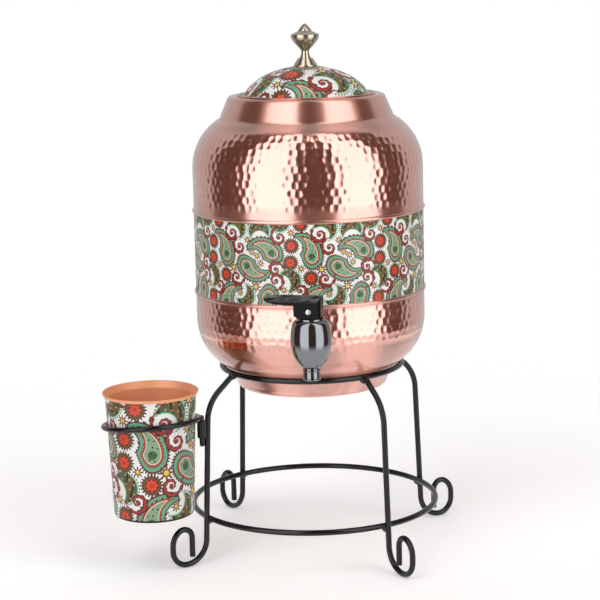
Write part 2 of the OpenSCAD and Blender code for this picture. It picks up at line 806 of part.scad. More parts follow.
// The rubber washer outside, shaped to the belly
module tap_outer_washer() {
  color(rubber) difference() {
    shank_disc(flange_r - 0.5, flange_y, -belly_r + 4 * washer_t);
    vessel_solid(0);
  }
}

// The rubber washer inside, shaped to the belly
module tap_inner_washer() {
  color(rubber) intersection() {
    shank_disc(flange_r - 0.5, -belly_r, nut_y);
    vessel_solid(wall);
  }
}

module tap_lock_nut() {
  color(steel) translate([0, nut_y, shank_z]) rotate([-90, 0, 0]) difference() {
    cylinder(d = nut_w / cos(30), h = nut_t, $fn = 6);
    translate([0, 0, -eps]) cylinder(r = shank_r + thread_gap, h = nut_t + 2 * eps);
  }
}

// The round seal between the bonnet and the stem
module stem_seal() {
  color(rubber) translate([0, tap_y, seal_z + thread_gap + seal_d / 2]) ring(seal_r, seal_d);
}

// The valve's soft cup, which closes the spout and holds the stem's heel
module valve_cup() {
  color(rubber) translate([0, tap_y, 0]) difference() {
    rotate_extrude() polygon([
      [0, cup_z - 2],
      [spout_bore_r - 1.2, cup_z - 2],
      [spout_bore_r - 0.3, cup_z],
      [cup_r, cup_z],
      [cup_r, cup_z + 1.5],
      [cup_r - 0.8, cup_top],
      [0, cup_top]
    ]);
    translate([0, 0, heel_z]) cylinder(r = heel_r + stem_play, h = heel_h + 2 * stem_play);
    translate([0, 0, heel_z]) cylinder(r = stem_r + stem_play, h = cup_h);
  }
}

// A wire swept round a helix with flat closed ends
module coil(centre_r, wire, height, turns) {
  count = turns * coil_steps;
  points = [for (i = [0:count], k = [0:coil_sides - 1])
    let (a = 360 * i / coil_steps, b = 360 * k / coil_sides, r = centre_r + wire / 2 * cos(b))
    [r * cos(a), r * sin(a), height * i / count + wire / 2 * sin(b)]];
  sides = [for (i = [0:count - 1], k = [0:coil_sides - 1])
    let (n = (k + 1) % coil_sides, p = i * coil_sides, q = p + coil_sides)
    [p + k, q + k, q + n, p + n]];
  ends = [
    [for (k = [0:coil_sides - 1]) k],
    [for (k = [coil_sides - 1:-1:0]) count * coil_sides + k]
  ];
  polyhedron(points, concat(sides, ends));
}

module return_spring() {
  color(steel) translate([0, tap_y, coil_z]) coil(coil_r, wire_d, coil_h, coil_turns);
}

// The stem, with a heel in the cup and a flat tongue that takes the lever's pin
module valve_stem() {
  color(steel) translate([0, tap_y, 0]) rotate([0, 0, lever_turn]) difference() {
    union() {
      translate([0, 0, heel_z + stem_play]) cylinder(r = heel_r, h = heel_h);
      translate([0, 0, heel_z + stem_play]) cylinder(r = stem_r, h = pin_z - heel_z - stem_play);
      translate([0, 0, pin_z]) rotate([90, 0, 0]) cylinder(r = tongue_r, h = tongue_w, center = true);
    }
    translate([0, 0, pin_z]) rotate([90, 0, 0]) cylinder(r = pin_r + thread_gap, h = big, center = true);
  }
}

module lever_pin() {
  color(steel) translate([0, tap_y, pin_z]) rotate([0, 0, lever_turn]) rotate([90, 0, 0])
    cylinder(r = pin_r, h = hub_w - 0.4, center = true);
}

// Side view of the lever with its cam
module lever_side() {
  edge = 0.6;
  corner = 3;
  polygon(concat(
    [[hub_back - edge, -sole]],
    [for (i = [0:cam_steps]) cam_point(lever_travel * i / cam_steps)],
    [
      [-hub_front, cam_side_z],
      [-hub_front, paddle_z - edge]
    ],
    [for (i = [0:paddle_steps]) let (t = i / paddle_steps)
      [-hub_front - edge + (hub_front + edge - paddle_l) * t, paddle_z + tip_rise * pow(t, 3)]],
    [for (i = [paddle_steps:-1:0]) let (t = i / paddle_steps)
      [-hub_front + (hub_front - paddle_l) * t, hub_top - tip_fall * pow(t, 3)]],
    [
      [hub_back - corner, hub_top],
      [hub_back - edge, hub_top - edge],
      [hub_back, hub_top - corner],
      [hub_back, edge - sole]
    ]
  ));
}

// Plan view of the lever: a round hub with flat cheeks and a round-ended paddle
module lever_plan() {
  hub_r = (hub_front + hub_back) / 2 + 1.2;
  intersection() {
    translate([(hub_back - hub_front) / 2, 0]) circle(r = hub_r);
    translate([-hub_front, -hub_w / 2]) square([hub_front + hub_back, hub_w]);
  }
  translate([hub_w / 2 - paddle_l, 0]) circle(d = hub_w);
  translate([hub_w / 2 - paddle_l, -hub_w / 2]) square([paddle_l - hub_w / 2, hub_w]);
}

// End view of the lever with its crowned top
module lever_end() {
  crown_axis = hub_top - crown_arc_r;
  intersection() {
    translate([-hub_w / 2, -big / 2]) square([hub_w, big]);
    union() {
      translate([0, crown_axis]) circle(r = crown_arc_r);
      translate([-hub_w / 2, -sole]) square([hub_w, sole + crown_axis]);
    }
  }
}

// The lever, forked round the stem's tongue
module tap_lever() {
  slot_w = tongue_w + 2 * slot_play;
  slot_back = tongue_r + slot_play;
  slot_front = sole * tan(lever_travel) + (stem_r + slot_play) / cos(lever_travel) + slot_play;
  slot_top = tongue_r + slot_play;
  color(lever_black) translate([0, tap_y, pin_z]) rotate([0, 0, lever_turn]) difference() {
    intersection() {
      rotate([90, 0, 0]) linear_extrude(2 * hub_w, center = true) lever_side();
      translate([0, 0, -big / 2]) linear_extrude(big) lever_plan();
      rotate([90, 0, 90]) linear_extrude(2 * big, center = true) lever_end();
    }
    rotate([90, 0, 0]) cylinder(r = pin_r + stem_play, h = big, center = true);
    translate([-slot_front, -slot_w / 2, -2 * sole]) cube([slot_front + slot_back, slot_w, 2 * sole + slot_top]);
  }
}

stand_top_ring();
stand_bottom_ring();
leg_back_right();
leg_back_left();
leg_front_left();
leg_front_right();
cup_holder_sleeve();
cup_holder_ring();
tumbler();
lower_bowl();
foot_ring();
belly_band();
shoulder_shell();
lid_dome();
lid_skirt();
lid_knob();
knob_washer();
knob_nut();
tap_body();
tap_bonnet();
tap_outer_washer();
tap_inner_washer();
tap_lock_nut();
stem_seal();
valve_cup();
return_spring();
valve_stem();
lever_pin();
tap_lever();
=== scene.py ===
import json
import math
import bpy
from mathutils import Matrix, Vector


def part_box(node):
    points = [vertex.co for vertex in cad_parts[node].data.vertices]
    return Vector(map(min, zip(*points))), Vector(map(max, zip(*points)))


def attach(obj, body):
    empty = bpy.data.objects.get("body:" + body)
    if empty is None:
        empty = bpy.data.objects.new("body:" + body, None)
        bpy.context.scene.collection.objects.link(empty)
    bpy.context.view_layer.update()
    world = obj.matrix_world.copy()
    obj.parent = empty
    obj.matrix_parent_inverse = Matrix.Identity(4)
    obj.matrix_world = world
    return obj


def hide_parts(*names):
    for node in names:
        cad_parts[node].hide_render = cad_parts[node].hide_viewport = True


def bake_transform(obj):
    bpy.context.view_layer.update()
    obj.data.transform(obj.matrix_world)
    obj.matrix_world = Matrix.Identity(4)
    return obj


bl_info = {
    "name": "Copper water dispenser",
    "version": (1, 0, 0),
    "blender": (4, 5, 0),
    "location": "View3D > Sidebar > Dispenser",
    "description": "Dresses the packed water dispenser with hammered copper, a printed band and a studio",
    "category": "Object",
}

import bpy
import numpy as np
from bpy.props import FloatProperty, FloatVectorProperty, IntProperty, PointerProperty
from mathutils import Matrix

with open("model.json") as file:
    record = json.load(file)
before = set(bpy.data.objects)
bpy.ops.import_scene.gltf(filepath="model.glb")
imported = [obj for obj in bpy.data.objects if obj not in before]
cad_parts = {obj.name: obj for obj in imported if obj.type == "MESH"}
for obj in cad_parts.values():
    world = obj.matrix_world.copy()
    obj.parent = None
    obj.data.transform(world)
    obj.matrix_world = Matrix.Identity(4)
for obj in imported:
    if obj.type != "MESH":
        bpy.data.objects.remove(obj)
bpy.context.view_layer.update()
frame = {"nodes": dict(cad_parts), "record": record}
MM = 0.001
BAND_LOW, BAND_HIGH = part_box("belly_band")
SHELL_LOW, SHELL_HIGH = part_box("shoulder_shell")
BOWL_LOW, BOWL_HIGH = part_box("lower_bowl")
LID_LOW, LID_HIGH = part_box("lid_dome")
CUP_LOW, CUP_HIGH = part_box("tumbler")
CUP_AXIS = ((CUP_LOW.x + CUP_HIGH.x) / 2, (CUP_LOW.y + CUP_HIGH.y) / 2, 0)

# Studio walls by azimuth from the front, in degrees: where each starts, is full, starts to fade and ends
LEFT_BOX = (-69, -57, -18, -10)
RIGHT_BOX = (24, 33, 69, 80)
BACK_FROM, BACK_FULL = 104, 113

# Height of the ceiling's edge and of its full light, as the sine of the elevation
CEILING_FROM, CEILING_FULL = 0.985, 0.999


def screen(red, green, blue):
    """A colour given in screen values of 0 to 255, as linear light."""
    return tuple(((c / 255 + 0.055) / 1.055) ** 2.4 for c in (red, green, blue))


def length(name, description, default):
    """A length in metres for a settings group."""
    return FloatProperty(
        name=name, description=description, default=default, unit="LENGTH", subtype="DISTANCE", precision=5
    )


def angle(name, description, default):
    """An angle in radians for a settings group."""
    return FloatProperty(name=name, description=description, default=default, subtype="ANGLE")


def count(name, description, default, least, most):
    """A whole number for a settings group."""
    return IntProperty(name=name, description=description, default=default, min=least, max=most)


def share(name, description, default, most=1.0):
    """A plain number for a settings group."""
    return FloatProperty(name=name, description=description, default=default, min=0.0, max=most)


def colour(name, description, default):
    """A linear colour for a settings group."""
    return FloatVectorProperty(
        name=name, description=description, default=default, subtype="COLOR", size=3, min=0.0, max=1.0
    )


class VesselSettings(bpy.types.PropertyGroup):
    """Sizes and finish of the hammered copper sheets."""

    belly_r: length("Belly radius", "Outer radius of the drum", BAND_HIGH.x)
    wall: length("Sheet", "Thickness of the copper sheet", 0.0012)
    curve_r: length("Curve radius", "Radius of the shoulder and of the bowl's corner", 0.049)
    crease_h: length("Shoulder height", "Height of the shoulder's curve up to the neck", 0.0425)
    neck_h: length("Neck height", "Height of the plain neck", 0.019)
    neck_slope: angle("Neck slope", "Slope of the neck from upright", math.radians(23))
    roll_r: length("Rolled edge", "Radius of the rolled edge at the mouth", 0.0035)
    mouth_r: length("Mouth radius", "Radius of the mouth", 0.0565)
    bead_r: length("Bead radius", "Section radius of the beads beside the band", 0.0017)
    bead_out: length("Bead height", "Height that the beads stand out", 0.0013)
    lap_h: length("Lap", "Length of the lap inside the band", 0.006)
    lap_gap: length("Lap gap", "Gap between the lap and the band", 0.00005)
    shank_z: length("Tap height", "Height of the tap's hole", 0.20378)
    shank_hole_r: length("Tap hole", "Radius of the tap's hole", 0.0063)
    row_pitch: length("Dent rows", "Distance between the rows of hammer dents", 0.0066)
    dent_pitch: length("Dent spacing", "Distance between dents in a row", 0.0072)
    dent_r: length("Dent radius", "Radius of one hammer dent", 0.0042)
    dent_depth: length("Dent depth", "Depth of one hammer dent", 0.00032)
    columns: count("Columns", "Grid columns round the vessel", 720, 180, 720)
    strip_above: length("Strip above", "Height of the plain strip above the band", 0.0094)
    strip_below: length("Strip below", "Height of the plain strip below the band", 0.0044)
    hammered_up: length("Hammered shoulder", "Height of the hammered zone on the shoulder", 0.064)
    hammered_down: length("Hammered bowl", "Height of the hammered zone on the bowl", 0.037)
    copper: colour("Copper", "Colour of the copper", (0.84, 0.385, 0.3))
    copper_dark: colour("Darker copper", "Colour where the copper has dulled", (0.76, 0.33, 0.248))
    gloss: share("Polish", "Roughness of the hammered copper", 0.17)
    satin: share("Satin", "Roughness of the spun copper", 0.33)
    bowl_satin: share("Bowl satin", "Roughness of the spun copper under the bowl", 0.46)
    lacquer: share("Lacquer", "Refraction of the lacquer on the copper", 2.3, 3.0)
    # Painted light: the inside is bare copper, but painted as a brighter, more orange copy of it, mostly not
    # metal, for the light glowing inside the tumbler.
    inner: colour("Inner copper", "Bright copper inside the tumbler", (1.0, 0.49, 0.27))
    inner_metal: share("Inner metal", "Share of metal in the finish inside the tumbler", 0.4)
    inner_gloss: share("Inner roughness", "Roughness of the copper inside the tumbler", 0.5)


class PrintSettings(bpy.types.PropertyGroup):
    """Inks and repeat of the printed ornament."""

    repeats: count("Repeats", "Repeats of the ornament round the band", 8, 4, 16)
    tile_h: length("Repeat height", "Height of one repeat on the band", 0.084)
    cup_repeats: count("Tumbler repeats", "Repeats of the ornament round the tumbler", 2, 1, 4)
    cup_r: length("Tumbler radius", "Radius of the tumbler at half its height", 0.0366)
    # The dark edge at the tumbler's base is painted shade.
    cup_edge: length("Tumbler edge", "Height of the dark edge at the tumbler's base", 0.0024)
    cup_lip: length("Tumbler lip", "Height of the bare copper at the tumbler's lip", 0.0026)
    lid_scale: share("Lid scale", "Size of the ornament on the lid against the band", 2.0, 4.0)
    lid_rim: length("Lid rim", "Width of the bare copper at the lid's edge", 0.0012)
    lid_wall: length("Lid sheet", "Thickness of the lid's sheet", 0.0011)
    lid_bore_r: length("Lid bore", "Radius of the hole for the knob's stud", 0.0021)
    dome_r: length("Dome radius", "Radius of the lid's dome at the brim", 0.053)
    hip_r: length("Dome hip", "Radius that the dome's side rises towards", 0.049)
    hip_h: length("Dome hip height", "Height of the hip above the brim", 0.011)
    crown_r: length("Dome crown", "Radius over which the crown stays level", 0.027)
    white: colour("Ground", "White ground of the print", screen(236, 236, 233))
    maroon: colour("Maroon", "Outlines and teeth", screen(88, 44, 36))
    green: colour("Green", "Body of the teardrops", screen(104, 166, 132))
    red: colour("Red", "Inner rim of the teardrops and stripe of the scrolls", screen(176, 52, 42))
    cream: colour("Cream", "Thin line in the teardrops", screen(226, 218, 196))
    sage: colour("Sage", "Inner field of the teardrops", screen(134, 166, 134))
    moss: colour("Moss", "Seed of the teardrops and stripes of the leaves", screen(66, 98, 64))
    orange: colour("Orange", "Hearts of the rosettes", screen(232, 82, 42))
    olive: colour("Olive", "Leaves, scrolls and rosette rims", screen(106, 86, 46))
    petal: colour("Petal", "Small flowers on the leaves", screen(160, 100, 66))
    yellow: colour("Yellow", "Hearts of the small flowers", screen(226, 200, 84))
    rust: colour("Rust", "Petals of the small flowers", screen(150, 66, 46))
    mint: colour("Mint", "Rims of the leaves", screen(130, 196, 158))
    # Painted shade: the near black under the tumbler's base edge.
    base_shade: colour("Tar", "Dark edge at the tumbler's base", (0.02, 0.015, 0.012))
    black: colour("Black", "Field of the leaves, beads and seeds", screen(34, 32, 26))


class MetalSettings(bpy.types.PropertyGroup):
    """Finishes of the rods, the tap and the knob, and sizes of the small trim."""

    egg_h: length("Egg height", "Height of the half egg below the tap's belt, down to its pole", 0.0258)
    belt_drop: length("Belt drop", "Height from the spout's end to the tap's belt", 0.0335)
    throat_r: length("Throat radius", "Radius at which the egg meets the spout", 0.0068)
    seam_r: length("Seam bead", "Section radius of the bead at the tap's seam", 0.0008)
    seam_rise: length("Seam rise", "Height of the seam's bead above the belt", 0.0013)
    rivet_r: length("Rivet radius", "Radius of the rivet heads on the lever's hub", 0.0024)
    rivet_h: length("Rivet height", "Height of a rivet head's dome", 0.0009)
    rivet_skirt: length("Rivet skirt", "Height of a rivet head's straight edge, sunk in the hub", 0.0005)
    wire_r: length("Spring wire", "Radius of the return spring's wire", 0.00045)
    coil_turns: count("Spring turns", "Turns of the return spring", 5, 4, 6)
    weld_r: length("Weld", "Radius of the weld beads where the legs meet the rings", 0.0038)
    hub_w: length("Hub width", "Width of the lever's hub along its pin", 0.017)
    rod_gloss: share("Rod gloss", "Roughness of the rods' coat", 0.15)
    chrome_gloss: share("Chrome gloss", "Roughness of the clean chrome", 0.04)
    plastic_gloss: share("Lever gloss", "Roughness of the lever", 0.26)
    brass_gloss: share("Knob gloss", "Roughness of the knob", 0.2)
    steel_gloss: share("Steel gloss", "Roughness of the steel", 0.28)
    rod: colour("Rod coat", "Black coat of the rods", (0.004, 0.004, 0.0045))
    chrome: colour("Chrome", "Plated tap", (0.23, 0.24, 0.255))
    plastic: colour("Lever", "Black plastic of the lever", (0.005, 0.005, 0.005))
    # Painted sheen: the grey that the lever's upper face shows where light from above falls on it.
    top_sheen: colour("Worn lever", "Grey of the lever's worn upper face", (0.16, 0.165, 0.165))
    brass: colour("Knob", "Pale brass of the knob", (0.52, 0.475, 0.38))
    steel: colour("Steel", "Pin, stem, nuts and spring", (0.58, 0.58, 0.58))
    rubber: colour("Rubber", "Washers and seals", (0.028, 0.028, 0.027))


class StageSettings(bpy.types.PropertyGroup):
    """Camera and studio."""

    place: FloatVectorProperty(
        name="Camera place",
        description="Where the camera stands",
        default=(0.0031, -1.6902, 0.5254),
        size=3,
        subtype="TRANSLATION",
        unit="LENGTH",
    )
    yaw: angle("Yaw", "Turn of the view to the right", -0.0073)
    pitch: angle("Pitch", "Tilt of the view downwards", 0.1797)
    roll: angle("Roll", "Roll of the view", -0.0226)
    lens: share("Lens", "Focal length in millimetres on the sensor", 117.26, 500.0)
    sensor: share("Sensor", "Width of the sensor in millimetres", 36.0, 100.0)
    softbox: share("Softboxes", "Brightness of the two softboxes", 2.05, 10.0)
    flag: colour("Flags", "Dark flags against the softboxes", (0.066, 0.038, 0.03))
    backdrop: share("Backdrop", "White backdrop against the softboxes", 0.27)
    ceiling: share("Ceiling", "Ceiling against the softboxes", 0.2)
    floor: colour("Floor", "Colour of the floor", (0.93, 0.93, 0.93))
    floor_lift: share("Floor lift", "Light added to the floor as it is seen", 0.28)
    floor_r: length("Floor radius", "Radius of the round floor, which fades out at its edge", 0.8)


def settings():
    """The scene's settings."""
    return bpy.context.scene.dispenser_settings


class DispenserSettings(bpy.types.PropertyGroup):
    """All settings of the dispenser."""

    vessel: PointerProperty(type=VesselSettings)
    ornament: PointerProperty(type=PrintSettings)
    metal: PointerProperty(type=MetalSettings)
    stage: PointerProperty(type=StageSettings)


class Wire:
    """One output socket of a shader node.

    Operators on numbers add Math nodes, and node() adds any other node.
    """

    def __init__(self, tree, socket=None):
        self.tree = tree
        self.socket = socket

    def node(self, kind, setup=None, inputs=None, output=0):
        """Adds a node of this kind, with its settings set first and then its sockets' values or links."""
        made = self.tree.nodes.new(kind)
        for key, value in (setup or {}).items():
            setattr(made, key, value)
        for key, value in (inputs or {}).items():
            if isinstance(value, Wire):
                self.tree.links.new(value.socket, made.inputs[key])
            else:
                made.inputs[key].default_value = value
        return Wire(self.tree, made.outputs[output])

    def math(self, operation, *values):
        return self.node("ShaderNodeMath", {"operation": operation}, dict(enumerate(values)))

    def __add__(self, other):
        return self.math("ADD", self, other)

    def __sub__(self, other):
        return self.math("SUBTRACT", self, other)

    def __rsub__(self, other):
        return self.math("SUBTRACT", other, self)

    def __mul__(self, other):
        return self.math("MULTIPLY", self, other)

    def __truediv__(self, other):
        return self.math("DIVIDE", self, other)

    def __lt__(self, other):
        return self.math("LESS_THAN", self, other)

    def __gt__(self, other):
        return self.math("GREATER_THAN", self, other)

    def __abs__(self):
        return self.math("ABSOLUTE", self)

    __radd__ = __add__
    __rmul__ = __mul__

    def least(self, other):
        return self.math("MINIMUM", self, other)

    def most(self, other):
        return self.math("MAXIMUM", self, other)

    def root(self):
        return self.math("SQRT", self)

    def power(self, exponent):
        return self.math("POWER", self, exponent)

    def log(self):
        return self.math("LOGARITHM", self, math.e)

    def sine(self):
        return self.math("SINE", self)

    def cosine(self):
        return self.math("COSINE", self)

    def fraction(self):
        return self.math("FRACT", self)

    def nearest(self):
        return self.math("ROUND", self)

    def angle(self, other):
        """The angle of the point (other, self)."""
        return self.math("ARCTAN2", self, other)

    def clamp(self):
        return self.node("ShaderNodeClamp", {}, {0: self})

    def ease(self, low, high):
        """0 below low and 1 above high, with a smooth step between."""
        steps = {0: self, 1: low, 2: high}
        return self.node("ShaderNodeMapRange", {"interpolation_type": "SMOOTHSTEP"}, steps)

    def paint(self, mask, ink):
        """This colour, with the ink laid on where the mask is 1."""
        ink = ink if isinstance(ink, Wire) else (*ink, 1.0)
        return self.node("ShaderNodeMix", {"data_type": "RGBA"}, {0: mask, 6: self, 7: ink}, 2)

    def tint(self, low, high):
        """A colour between low and high by this number."""
        ends = {0: self, 6: (*low, 1.0), 7: (*high, 1.0)}
        return self.node("ShaderNodeMix", {"data_type": "RGBA"}, ends, 2)

    def split(self):
        """The three numbers of this vector."""
        made = self.node("ShaderNodeSeparateXYZ", {}, {0: self})
        sockets = made.socket.node.outputs
        return [Wire(self.tree, s) for s in sockets]

    def join(self, x, y, z):
        return self.node("ShaderNodeCombineXYZ", {}, {0: x, 1: y, 2: z})

    def dot(self, vector):
        return self.node("ShaderNodeVectorMath", {"operation": "DOT_PRODUCT"}, {0: self, 1: vector}, "Value")

    def stretch(self, x, y, z):
        return self.node("ShaderNodeVectorMath", {"operation": "MULTIPLY"}, {0: self, 1: (x, y, z)})

    def noise(self, scale, detail=3.0, rough=0.5):
        grain = {"Vector": self, "Scale": scale, "Detail": detail, "Roughness": rough}
        return self.node("ShaderNodeTexNoise", {}, grain)

    def bump(self, distance, strength=1.0):
        """A normal from this height, which counts distance metres for each unit."""
        return self.node("ShaderNodeBump", {}, {"Height": self, "Distance": distance, "Strength": strength})


class Layer:
    """One Principled shader. Fixed values go on the shader's own sockets, and feed() links what varies."""

    def __init__(self, tree, **fixed):
        self.tree = tree
        self.shader = tree.nodes.new("ShaderNodeBsdfPrincipled")
        for key, value in fixed.items():
            value = (*value, 1.0) if isinstance(value, tuple) else value
            self.shader.inputs[key.replace("_", " ")].default_value = value

    def feed(self, **links):
        for key, value in links.items():
            self.tree.links.new(value.socket, self.shader.inputs[key.replace("_", " ")])


class Finish(Layer):
    """A material of one layer, with a second one over it where over() is called."""

    def __init__(self, name, **fixed):
        self.material = bpy.data.materials.new(name)
        self.material.use_nodes = True
        tree = self.material.node_tree
        tree.nodes.clear()
        super().__init__(tree, **fixed)
        self.out = tree.nodes.new("ShaderNodeOutputMaterial")
        tree.links.new(self.shader.outputs[0], self.out.inputs[0])

    def coords(self, output="Object"):
        return Wire(self.tree).node("ShaderNodeTexCoord", output=output)

    def over(self, mask, **fixed):
        """A second layer that covers the first where the mask is 1."""
        top = Layer(self.tree, **fixed)
        mix = self.tree.nodes.new("ShaderNodeMixShader")
        for source, socket in ((mask.socket, 0), (self.shader.outputs[0], 1), (top.shader.outputs[0], 2)):
            self.tree.links.new(source, mix.inputs[socket])
        self.tree.links.new(mix.outputs[0], self.out.inputs[0])
        return top

    def feed(self, **links):
        super().feed(**links)
        return self.material


def dress(node, material):
    """Gives a CAD node its material."""
    slots = frame["nodes"][node].data.materials
    slots.clear()
    slots.append(material)


def mesh_object(name, vertices, faces, material, sharp=40.0):
    """A mesh object at the origin with smooth faces, and sharp edges over an angle in degrees."""
    mesh = bpy.data.meshes.new(name)
    mesh.from_pydata(vertices.tolist(), [], faces)
    mesh.update()
    mesh.shade_smooth()
    mesh.set_sharp_from_angle(angle=math.radians(sharp))
    mesh.materials.append(material)
    made = bpy.data.objects.new(name, mesh)
    bpy.context.scene.collection.objects.link(made)
    return made


def run(start, end, step):
    """Points from start to end along a straight line, about step apart, without the last one."""
    start, end = np.array(start), np.array(end)
    steps = max(1, round(np.linalg.norm(end - start) / step))
    return start + np.linspace(0, 1, steps, endpoint=False)[:, None] * (end - start)


def bend(centre, radius, start, end, step):
    """Points on a circle from one angle to another, about step apart, without the last one."""
    steps = max(2, round(abs(end - start) * radius / step))
    turn = start + np.linspace(0, 1, steps, endpoint=False) * (end - start)
    return np.stack([centre[0] + radius * np.cos(turn), centre[1] + radius * np.sin(turn)], 1)


def scatter(row, place, salt):
    """A repeatable number from 0 to 1 for each whole row and place: the fraction of a large sine."""
    wild = np.sin(row * 12.9898 + place * 78.233 + salt * 37.719) * 43758.5453
    return wild - np.floor(wild)


def hammer(along, radius, turn, low, high, v):
    """Depth of the hammer dents on a grid of rows along a profile and columns round an axis.

    Dents lie in rows, each row shifted against the next and each dent moved a little from its place. One
    dent is a round dish, depth * (1 - (distance / dent radius)^2)^1.6, and the deepest of twelve is kept.
    """
    along, radius = along[:, None], radius[:, None]
    depth = np.zeros((len(along), len(turn)))
    rows = np.floor((along - low) / v.row_pitch)
    for step_row in (-1, 0, 1):
        row = rows + step_row
        centre = low + (row + 0.5) * v.row_pitch
        ring = 2 * np.pi * np.interp(centre, along[:, 0], radius[:, 0])
        dents = np.maximum(1, np.round(ring / v.dent_pitch))
        shift = 0.5 * (row % 2) + 0.3 * scatter(row, 0, 1)
        near = np.floor(turn / (2 * np.pi) * dents - shift)
        inside = (centre > low) & (centre < high)
        for step in (-1, 0, 1, 2):
            place = (near + step) % dents
            down = along - centre - (scatter(row, place, 2) - 0.5) * 0.26 * v.row_pitch
            around = turn / (2 * np.pi) * dents - shift - near - step - (scatter(row, place, 3) - 0.5) * 0.3
            across = around * 2 * np.pi * radius / dents
            size = v.dent_r * (0.9 + 0.25 * scatter(row, place, 4))
            deep = v.dent_depth * (0.75 + 0.5 * scatter(row, place, 5))
            dent = deep * np.maximum(1 - (down**2 + across**2) / size**2, 0) ** 1.6
            depth = np.maximum(depth, np.where(inside, dent, 0))
    return depth


def outward(profile):
    """Unit normals of a profile of radius and height that runs upwards on its outer side."""
    slope = np.gradient(profile, axis=0)
    slope /= np.linalg.norm(slope, axis=1)[:, None]
    return np.stack([slope[:, 1], -slope[:, 0]], 1)


def travelled(profile):
    """Length along a profile at each of its points."""
    return np.concatenate([[0], np.cumsum(np.linalg.norm(np.diff(profile, axis=0), axis=1))])


def lathe(profile, depth, columns):
    """A profile turned about the Z axis: x = r cos a, y = r sin a.

    The depth pushes each point in along its normal.
    """
    turn = np.arange(columns) * 2 * np.pi / columns
    normal = outward(profile)
    r = profile[:, :1] - normal[:, :1] * depth
    z = profile[:, 1:] - normal[:, 1:] * depth
    return np.stack([r * np.cos(turn), r * np.sin(turn), z + 0 * turn], 2)


def lathe_faces(rows, columns, closed):
    """Quads of a lathe's grid, as an array of rows, columns and four corners.

    A closed profile joins its ends.
    """
    i = np.arange(rows if closed else rows - 1)[:, None]
    j = np.arange(columns)[None, :]
    up, on = (i + 1) % rows, (j + 1) % columns
    corners = [i * columns + j, i * columns + on, up * columns + on, up * columns + j]
    return np.stack(np.broadcast_arrays(*corners), 2)


def turned_shell(name, points, material):
    """A mesh object from a lathe's grid of points whose profile is closed."""
    faces = lathe_faces(*points.shape[:2], True)
    return mesh_object(name, points.reshape(-1, 3), faces.reshape(-1, 4).tolist(), material)


def closed_grid(grid, low_pole, high_pole):
    """Vertices and faces of a grid of rings that a point closes at each end."""
    rows, columns = grid.shape[:2]
    here, on = np.arange(columns), np.roll(np.arange(columns), -1)
    top = 1 + (rows - 1) * columns
    faces = (lathe_faces(rows, columns, False).reshape(-1, 4) + 1).tolist()
    faces += np.stack([0 * here, 1 + on, 1 + here], 1).tolist()
    faces += np.stack([top + here, top + on, 0 * here + top + columns], 1).tolist()
    return np.concatenate([[low_pole], grid.reshape(-1, 3), [high_pole]]), faces


def shoulder_profile(v):
    """The shoulder's closed section: lap, bead, drum, curve, neck, rolled edge, ledge and the inner side."""
    edge, step = BAND_HIGH.z, 0.0009
    lap_r = v.belly_r - v.wall - v.lap_gap
    axis_r, axis_z = v.belly_r - v.curve_r, SHELL_HIGH.z - v.neck_h - v.crease_h
    crease_turn = math.asin(v.crease_h / v.curve_r)
    crease_r = axis_r + v.curve_r * math.cos(crease_turn)
    crease_z = axis_z + v.crease_h
    roll_z = SHELL_HIGH.z - v.roll_r
    neck_r = crease_r - (roll_z - crease_z) * math.tan(v.neck_slope)
    roll_x = neck_r - v.roll_r / math.cos(v.neck_slope)
    bead = (v.belly_r + v.bead_out - v.bead_r, edge + v.bead_r)
    bead_turn = math.acos((v.belly_r - bead[0]) / v.bead_r)
    outer = np.concatenate([
        run((lap_r, edge - v.lap_h), (lap_r, edge), 0.003),
        run((lap_r, edge), (v.belly_r, edge), 0.0007),
        bend(bead, v.bead_r, -bead_turn, bead_turn, 0.0004),
        run((v.belly_r, bead[1] + v.bead_r * math.sin(bead_turn)), (v.belly_r, axis_z), step),
        bend((axis_r, axis_z), v.curve_r, 0, crease_turn, step),
        run((crease_r, crease_z), (neck_r, roll_z), 0.0022),
        bend((roll_x, roll_z), v.roll_r, v.neck_slope, math.pi / 2, 0.0006),
        run((roll_x, SHELL_HIGH.z), (v.mouth_r, SHELL_HIGH.z), 0.003),
    ])
    thin = v.wall / math.cos(v.neck_slope)
    inner_turn = math.asin(v.crease_h / (v.curve_r - v.wall))
    inner = np.concatenate([
        [(v.mouth_r, SHELL_HIGH.z), (v.mouth_r, SHELL_HIGH.z - v.wall)],
        bend((roll_x, roll_z), v.roll_r - v.wall, math.pi / 2, v.neck_slope, 0.001),
        run((neck_r - thin, roll_z), (crease_r - thin, crease_z), 0.008),
        bend((axis_r, axis_z), v.curve_r - v.wall, inner_turn, 0, 0.005),
        run((v.belly_r - v.wall, axis_z), (v.belly_r - v.wall, edge + v.lap_h / 2), 0.012),
        [(v.belly_r - v.wall, edge + v.lap_h / 2)],
        [(lap_r - v.wall, edge + v.lap_h / 2), (lap_r - v.wall, edge - v.lap_h)],
    ])
    return outer, inner


